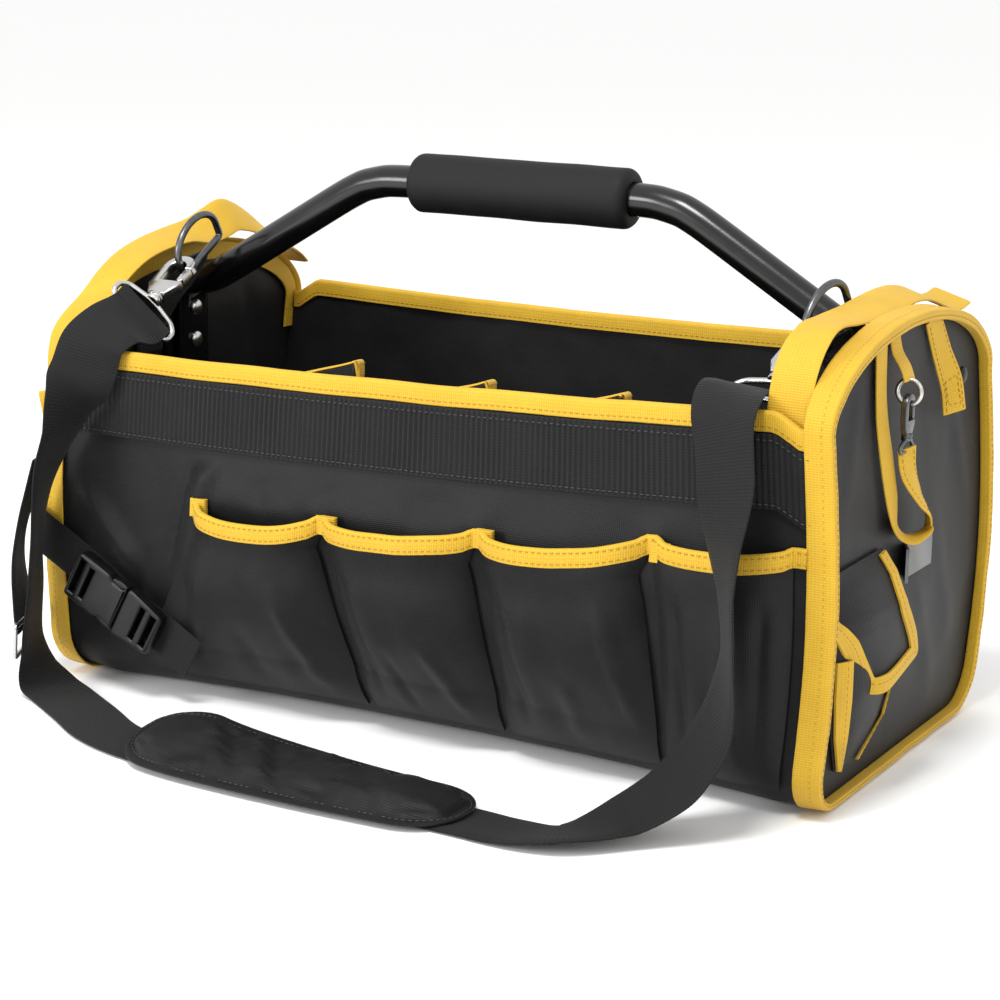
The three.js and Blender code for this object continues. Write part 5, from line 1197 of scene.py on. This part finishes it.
for side, place, yaw in RINGS:
    basis = loop_basis = leaning_frame(yaw)
    origin = np.array(place) - D_HALF * basis[1] + 6.5 * basis[2]
    if side == "left":
        hook = plate("hook_body_left", HOOK_OPEN, HOOK_THICKNESS, basis, origin, nickel, bevel=1.0)
        hook_gate("hook_lever_left", basis, origin, nickel, "nickel", "hook_left_gate")
        swing_cos, swing_sin = math.cos(LOOP_SWING), math.sin(LOOP_SWING)
        loop_basis = (
            basis[0] * swing_cos - basis[2] * swing_sin, basis[1], basis[0] * swing_sin + basis[2] * swing_cos
        )
    else:
        hook = plate("hook_body_right", HOOK_CLOSED, HOOK_THICKNESS, basis, origin, nickel, holes=[HOOK_EYE], bevel=1.0)
    settle(hook, "nickel", f"hook_{side}")
    loop, barrel = swivel_loop(f"hook_wire_{side}", loop_basis, origin, LOOP_HALF, LOOP_DROP, nickel)
    settle(loop, "nickel", f"hook_{side}_loop")
    settle(barrel, "nickel")

# Side strap: 25 mm black webbing across the front left, fastened with a side-release buckle.
# The buckle is moulded in black acetal: a hollow socket and a plug with a webbing slot.
SIDE_ROUTE = [
    (-255.6, -112, 95, 0, 0.1, 0.98), (-255, -121.6, 93.5, 0.1, 0.1, 0.97), (-249, -126.4, 90.5, 0.3, 0, 0.94),
    (-230, -126.4, 80, 0.45, 0, 0.89), (-214, -126.4, 71, 0.45, 0, 0.89), (-187, -128.6, 56, 0.48, 0, 0.88),
    (-160, -129, 41.5, 0.48, 0, 0.88), (-136, -130.6, 29, 0.48, 0, 0.88),
]
strip_piece("webbing_side", SIDE_ROUTE, 25, 1.6, 70, webbing_black, "webbing_black", "side_strap", 9)
# Acetal gives a smooth black with small clear highlights along its rounded edges.
plastic_black = satin("moulded_acetal", "#050506", "#0B0B0C", 0.36, 0.9, 0.04, 0.35)
BUCKLE_AT, BUCKLE_SLOPE = (-187, -134.7, 55.5), math.radians(28)
slope_cos, slope_sin = math.cos(BUCKLE_SLOPE), math.sin(BUCKLE_SLOPE)
buckle_basis = ((slope_cos, 0, -slope_sin), (slope_sin, 0, slope_cos), (0, -1, 0))


def slot_hole(start, end, half):
    return [(start, -half), (end, -half), (end, half), (start, half)]


# The shells' outlines run from one edge to the other, and each hole is a slot across the webbing.
SOCKET = [
    (-34, -15), (-10, -15), (-7, -12.4), (1, -12.8), (4, -16), (4, 16), (1, 12.8), (-7, 12.4), (-10, 15), (-34, 15)
]
PLUG = [(4.5, -16), (14, -15), (32, -13), (32, 13), (14, 15), (4.5, 16)]
for part, outline, height, holes in (
    ("socket", SOCKET, 9, [(-31.5, -27.5, 11.5), (-23.5, -20.5, 10.5)]),
    ("plug", PLUG, 8, [(24.5, 28.5, 10.5), (16.5, 20, 11)]),
):
    shell = plate(
        f"buckle_{part}_shell", soften(outline, 2.5), height, buckle_basis, BUCKLE_AT, plastic_black,
        holes=[slot_hole(*hole) for hole in holes], bevel=1.6,
    )
    settle(shell, "plastic_black", f"buckle_{part}")
PRONG = [(-8.5, 12.2), (-1, 11.5), (4.2, 13), (3.5, 15.2), (-2, 15.6), (-7.5, 14.6)]
for which, wing in (("lower", -1), ("upper", 1)):
    finger = soften([(x, wing * y) for x, y in PRONG], 1.2)
    prong = plate(f"buckle_prong_{which}", finger, 6, buckle_basis, BUCKLE_AT, plastic_black)
    settle(prong, "plastic_black")

# End pocket: a flat canvas pocket on the right end, closed by a five-sided flap.
# Its sides and the flap's free edge are bound in yellow tape, and the flap's front edge is caught under the fin.
# Rows of a height, the front edge, the back edge and how far the cloth stands out there.
END_ROWS = np.array([
    (111, -107, -40, 0.7), (90, -107, -30, 1), (62, -104, -24, 1), (40, -98, -30, 0.7), (20, -88, -58, 0.15)
])
FLAP_ROWS = np.array([
    (130, -108, -44, 0.8), (120, -109, -43, 7), (104, -110, -41, 12.4), (95, -110, -34, 13), (84, -99, -26, 13.4),
    (70, -86, -20, 13.6), (59.5, -76, -58, 13),
])
END_TOP, END_FOOT, END_FULL, FLAP_TOP, FLAP_TIP = 111, 20, 9, 130, 59.5
EDGE_TAPE, FLAP_TAPE_GAP, END_TAPE_GAP, FIN_EDGE = 9.0, 2.2, 2.6, (-120, 103)


def end_face(z):
    return end_x(z) + END_OFF + END_THICKNESS


def end_row(rows, z):
    """Front edge, back edge and fullness at a height, between rows from the top down."""
    return [np.interp(z, rows[::-1, 0], rows[::-1, k]) for k in (1, 2, 3)]


def end_pocket(share, z):
    front, back, full = end_row(END_ROWS, z)
    out = end_face(z) + 0.6 + END_FULL * full * crown(share, 3)
    return np.stack([out, front + (back - front) * share, z + 0 * share], -1)


pocket_share = np.linspace(0, 1, 37)
face = end_pocket(pocket_share[:, None], np.linspace(END_TOP, END_FOOT, 37)[None, :])
face[..., 0] += ripple(face, (30, 20, 26), 40.0) * 0.8 * crown(pocket_share, 4)[:, None]
settle(loft("canvas_end_pocket", thick(face, -POCKET_WALL), canvas_black, sheet=True), "canvas_black", "end_pocket")


def flap_out(share, z):
    """How far the flap stands out: it lies close to the wall along its front edge, where the fin's seam holds it."""
    return end_row(FLAP_ROWS, z)[2] * (1 - 0.8 * (1 - share) ** 4)


flap_z, flap_share = np.linspace(FLAP_TOP, FLAP_TIP, 47), np.linspace(0, 1, 31)[:, None]
front, back, _ = end_row(FLAP_ROWS, flap_z)
face = np.stack([
    end_face(flap_z) + flap_out(flap_share, flap_z), front + (back - front) * flap_share,
    np.broadcast_to(flap_z, (31, 47)),
], -1)
face[..., 0] += ripple(face, (30, 24, 22), 50.0) * 0.35
flap = loft("canvas_flap", thick(face, -POCKET_WALL), canvas_black, sheet=True)
settle(flap, "canvas_black", "end_pocket_flap")


def edge_tape(name, line, inward, node):
    """Flat tape along an edge: rows of points on the edge and the directions from it into the cloth."""
    shares = np.linspace(0, 1, 6)
    low = line[:, None] + inward[:, None] * (shares * EDGE_TAPE)[:, None]
    high = low + np.array([1, 0, 0]) * (1.2 + 0.5 * np.sin(np.pi * shares))[:, None]
    piece = loft(name, np.concatenate([low, high[:, ::-1]], 1), tape_yellow, sheet=True)
    settle(piece, "tape_yellow", node)
    seam = line + inward * EDGE_TAPE * 0.62 + np.array([1.6, 0, 0])
    sew("stitches_" + name, [seam], thread_yellow, "tape_yellow")
    return piece


def over_flap(line):
    """Rows of y and z with the x of the flap's tape there."""
    front, back, _ = end_row(FLAP_ROWS, line[:, 1])
    share = np.clip((line[:, 0] - front) / (back - front), 0, 1)
    return np.column_stack([end_face(line[:, 1]) + flap_out(share, line[:, 1]) + FLAP_TAPE_GAP, line])


flap_edge = np.concatenate([FLAP_ROWS[:, [2, 0]], FLAP_ROWS[:2:-1, [1, 0]], [FIN_EDGE]])
flap_along = np.concatenate([[0], np.cumsum(np.linalg.norm(np.diff(flap_edge, axis=0), axis=1))])
flap_spots = np.linspace(0, flap_along[-1], 121)
flap_line = smooth_rows(np.stack([np.interp(flap_spots, flap_along, flap_edge[:, k]) for k in (0, 1)], 1), 10)
flap_step = unit(np.gradient(flap_line, axis=0))
flap_in = np.stack([flap_step[:, 1], -flap_step[:, 0]], 1)
line, inner = over_flap(flap_line), over_flap(flap_line + EDGE_TAPE * flap_in)
flap_tape = edge_tape("tape_flap", line, (inner - line) / EDGE_TAPE, "end_flap_binding")
for side, near, far, top in (("front", 0.0, 0.12, 84), ("back", 0.97, 0.8, 62)):
    edge_z = np.linspace(top, END_FOOT, 31)
    line, inner = (end_pocket(np.full(31, share), edge_z) + np.array([END_TAPE_GAP, 0, 0]) for share in (near, far))
    edge_tape(f"tape_end_pocket_{side}", line, (inner - line) / EDGE_TAPE, f"end_pocket_binding_{side}")

# Tape clip: bent spring steel, dark plated, for the belt clip of a tape measure.
# It lies flat on the right end behind the flap, with its free lip turned out.
CLIP, CLIP_HEIGHT, CLIP_WIDTH = [(-18, 5), (-8, 0), (32, 0), (32, 1.6), (-7.6, 1.6), (-17, 6.4)], 115.5, 19
clip = plate(
    "steel_clip", CLIP, CLIP_WIDTH, ((0, 1, 0), (1, 0, 0), (0, 0, -1)), (end_face(CLIP_HEIGHT) + 0.6, 0, CLIP_HEIGHT),
    gunmetal, bevel=0.3,
)
settle(clip, "gunmetal", "tape_clip")

# Tape holder: a hanging loop of yellow tape, its long end sewn under the fin, for the roll of a tape.
# A nickel split ring on a sewn tab carries a small dark snap hook, and the loop's short end hangs on the hook.
TAPE_ROUTE = [
    (249.4, -26, 181.5, 0.3, 0.95, 0), (250.3, -25, 171, 0.2, 0.97, 0), (253, -13, 154, -0.2, 0.98, 0),
    (255, -3, 142.5, -0.48, 0.87, 0), (255, -3, 134.5, -0.48, 0.87, 0), (250.5, -15, 131, -0.48, 0.87, 0),
    (247.2, -28, 138, -0.3, 0.95, 0), (245.6, -34, 155, 0, 1, 0.05), (243.6, -39, 176, 0.05, 0.99, 0.1),
    (240.8, -43, 202, 0, 1, 0.1), (239.9, -46, 241, 0, 1, 0.1),
]
tape_frames = strip_piece("tape_hanging", TAPE_ROUTE, 15, 1.6, 120, tape_yellow, "tape_yellow", "tape_strap")
sew("stitches_hanging", edge_lines(tape_frames, 15, 0.9, 2.4, 3), thread_yellow, "tape_yellow")
TAB_ROUTE = [(x, -26, z, 0, 1, 0) for x, z in ((239.6, 240), (241.5, 232), (246.5, 224), (249, 217.4))]
strip_piece("tape_ring_tab", TAB_ROUTE, 14, 1.6, 24, tape_yellow, "tape_yellow", "tape_tab")
RING_AT, RING_RADIUS, RING_WIRE = (249, -26.0, 211.5), 6.5, 1.3
ring_turns = np.linspace(0, 2 * np.pi, 40, endpoint=False)
ring_path = np.stack([
    RING_AT[0] + RING_RADIUS * np.cos(ring_turns), np.full(40, RING_AT[1]),
    RING_AT[2] + RING_RADIUS * np.sin(ring_turns),
], 1)
settle(wire("wire_split_ring", ring_path, RING_WIRE, (0, 1, 0), nickel), "nickel", "tape_ring")
SNAP_SCALE, SNAP_AT = 0.6, np.array([249, -26, 205.6])
snap_axes = np.array([(0.0, 1.0, 0.0), (0.0, 0.0, 1.0), (1.0, 0.0, 0.0)])
snap_basis = snap_axes * SNAP_SCALE
snap = plate("snap_body", HOOK_OPEN, HOOK_THICKNESS, snap_basis, SNAP_AT, gunmetal, bevel=1.0)
settle(snap, "gunmetal", "tape_hook")
for piece in swivel_loop("snap_wire", snap_axes, SNAP_AT, 15, 44, gunmetal, SNAP_SCALE, 1.0):
    settle(piece, "gunmetal")
hook_gate("snap_lever", snap_basis, SNAP_AT, gunmetal, "gunmetal", "tape_hook_gate")

# Loose tape ends: a yellow tab with a stitched box on the right end, hanging from the fin beside a black plastic stud.
# A short yellow tab on the left end is caught in the fin's seam.
END_TAB, END_TAB_WIDTH = [
    (240.4, 27, 244, 0.1, 0.99, 0), (242, 44, 219, 0.25, 0.97, 0), (244.5, 53, 203, 0.45, 0.89, 0),
    (246.5, 55, 187, 0.5, 0.87, 0),
], 16
tab_frames = strip_piece("tape_end_tab", END_TAB, END_TAB_WIDTH, 1.8, 40, tape_yellow, "tape_yellow", "end_tab")
tab_centre, tab_across, tab_facing = tab_frames
tab_box = [
    tab_centre[k] + tab_across[k] * side * 4.5 + tab_facing[k]
    for k, side in ((24, -1), (24, 1), (36, 1), (36, -1), (24, -1))
]
sew("stitches_end_tab", [*edge_lines(tab_frames, END_TAB_WIDTH, 1.0, 2.0, 2), tab_box], thread_yellow, "tape_yellow")
STUD_PROFILE, STUD_Y, STUD_Z = [(0, 5), (1.2, 5), (1.9, 4.6), (2.5, 3.6), (2.9, 2.0), (3.0, 0.3)], 82, 203.0
stud_foot = np.array([end_face(STUD_Z) + 1.9, STUD_Y, STUD_Z])
stud = turned("stud_cap", STUD_PROFILE, stud_foot, *np.eye(3), plastic_black)
settle(stud, "plastic_black", "end_tab_stud")
SIDE_TAB = [(-243.4, -103, 164, 0, 0.1, 1), (-251, -106, 163, 0, 0.1, 1), (-260, -110, 161, 0, 0.1, 1)]
strip_piece("tape_side_tab", SIDE_TAB, 17, 2.0, 24, tape_yellow, "tape_yellow", "side_tab_left")
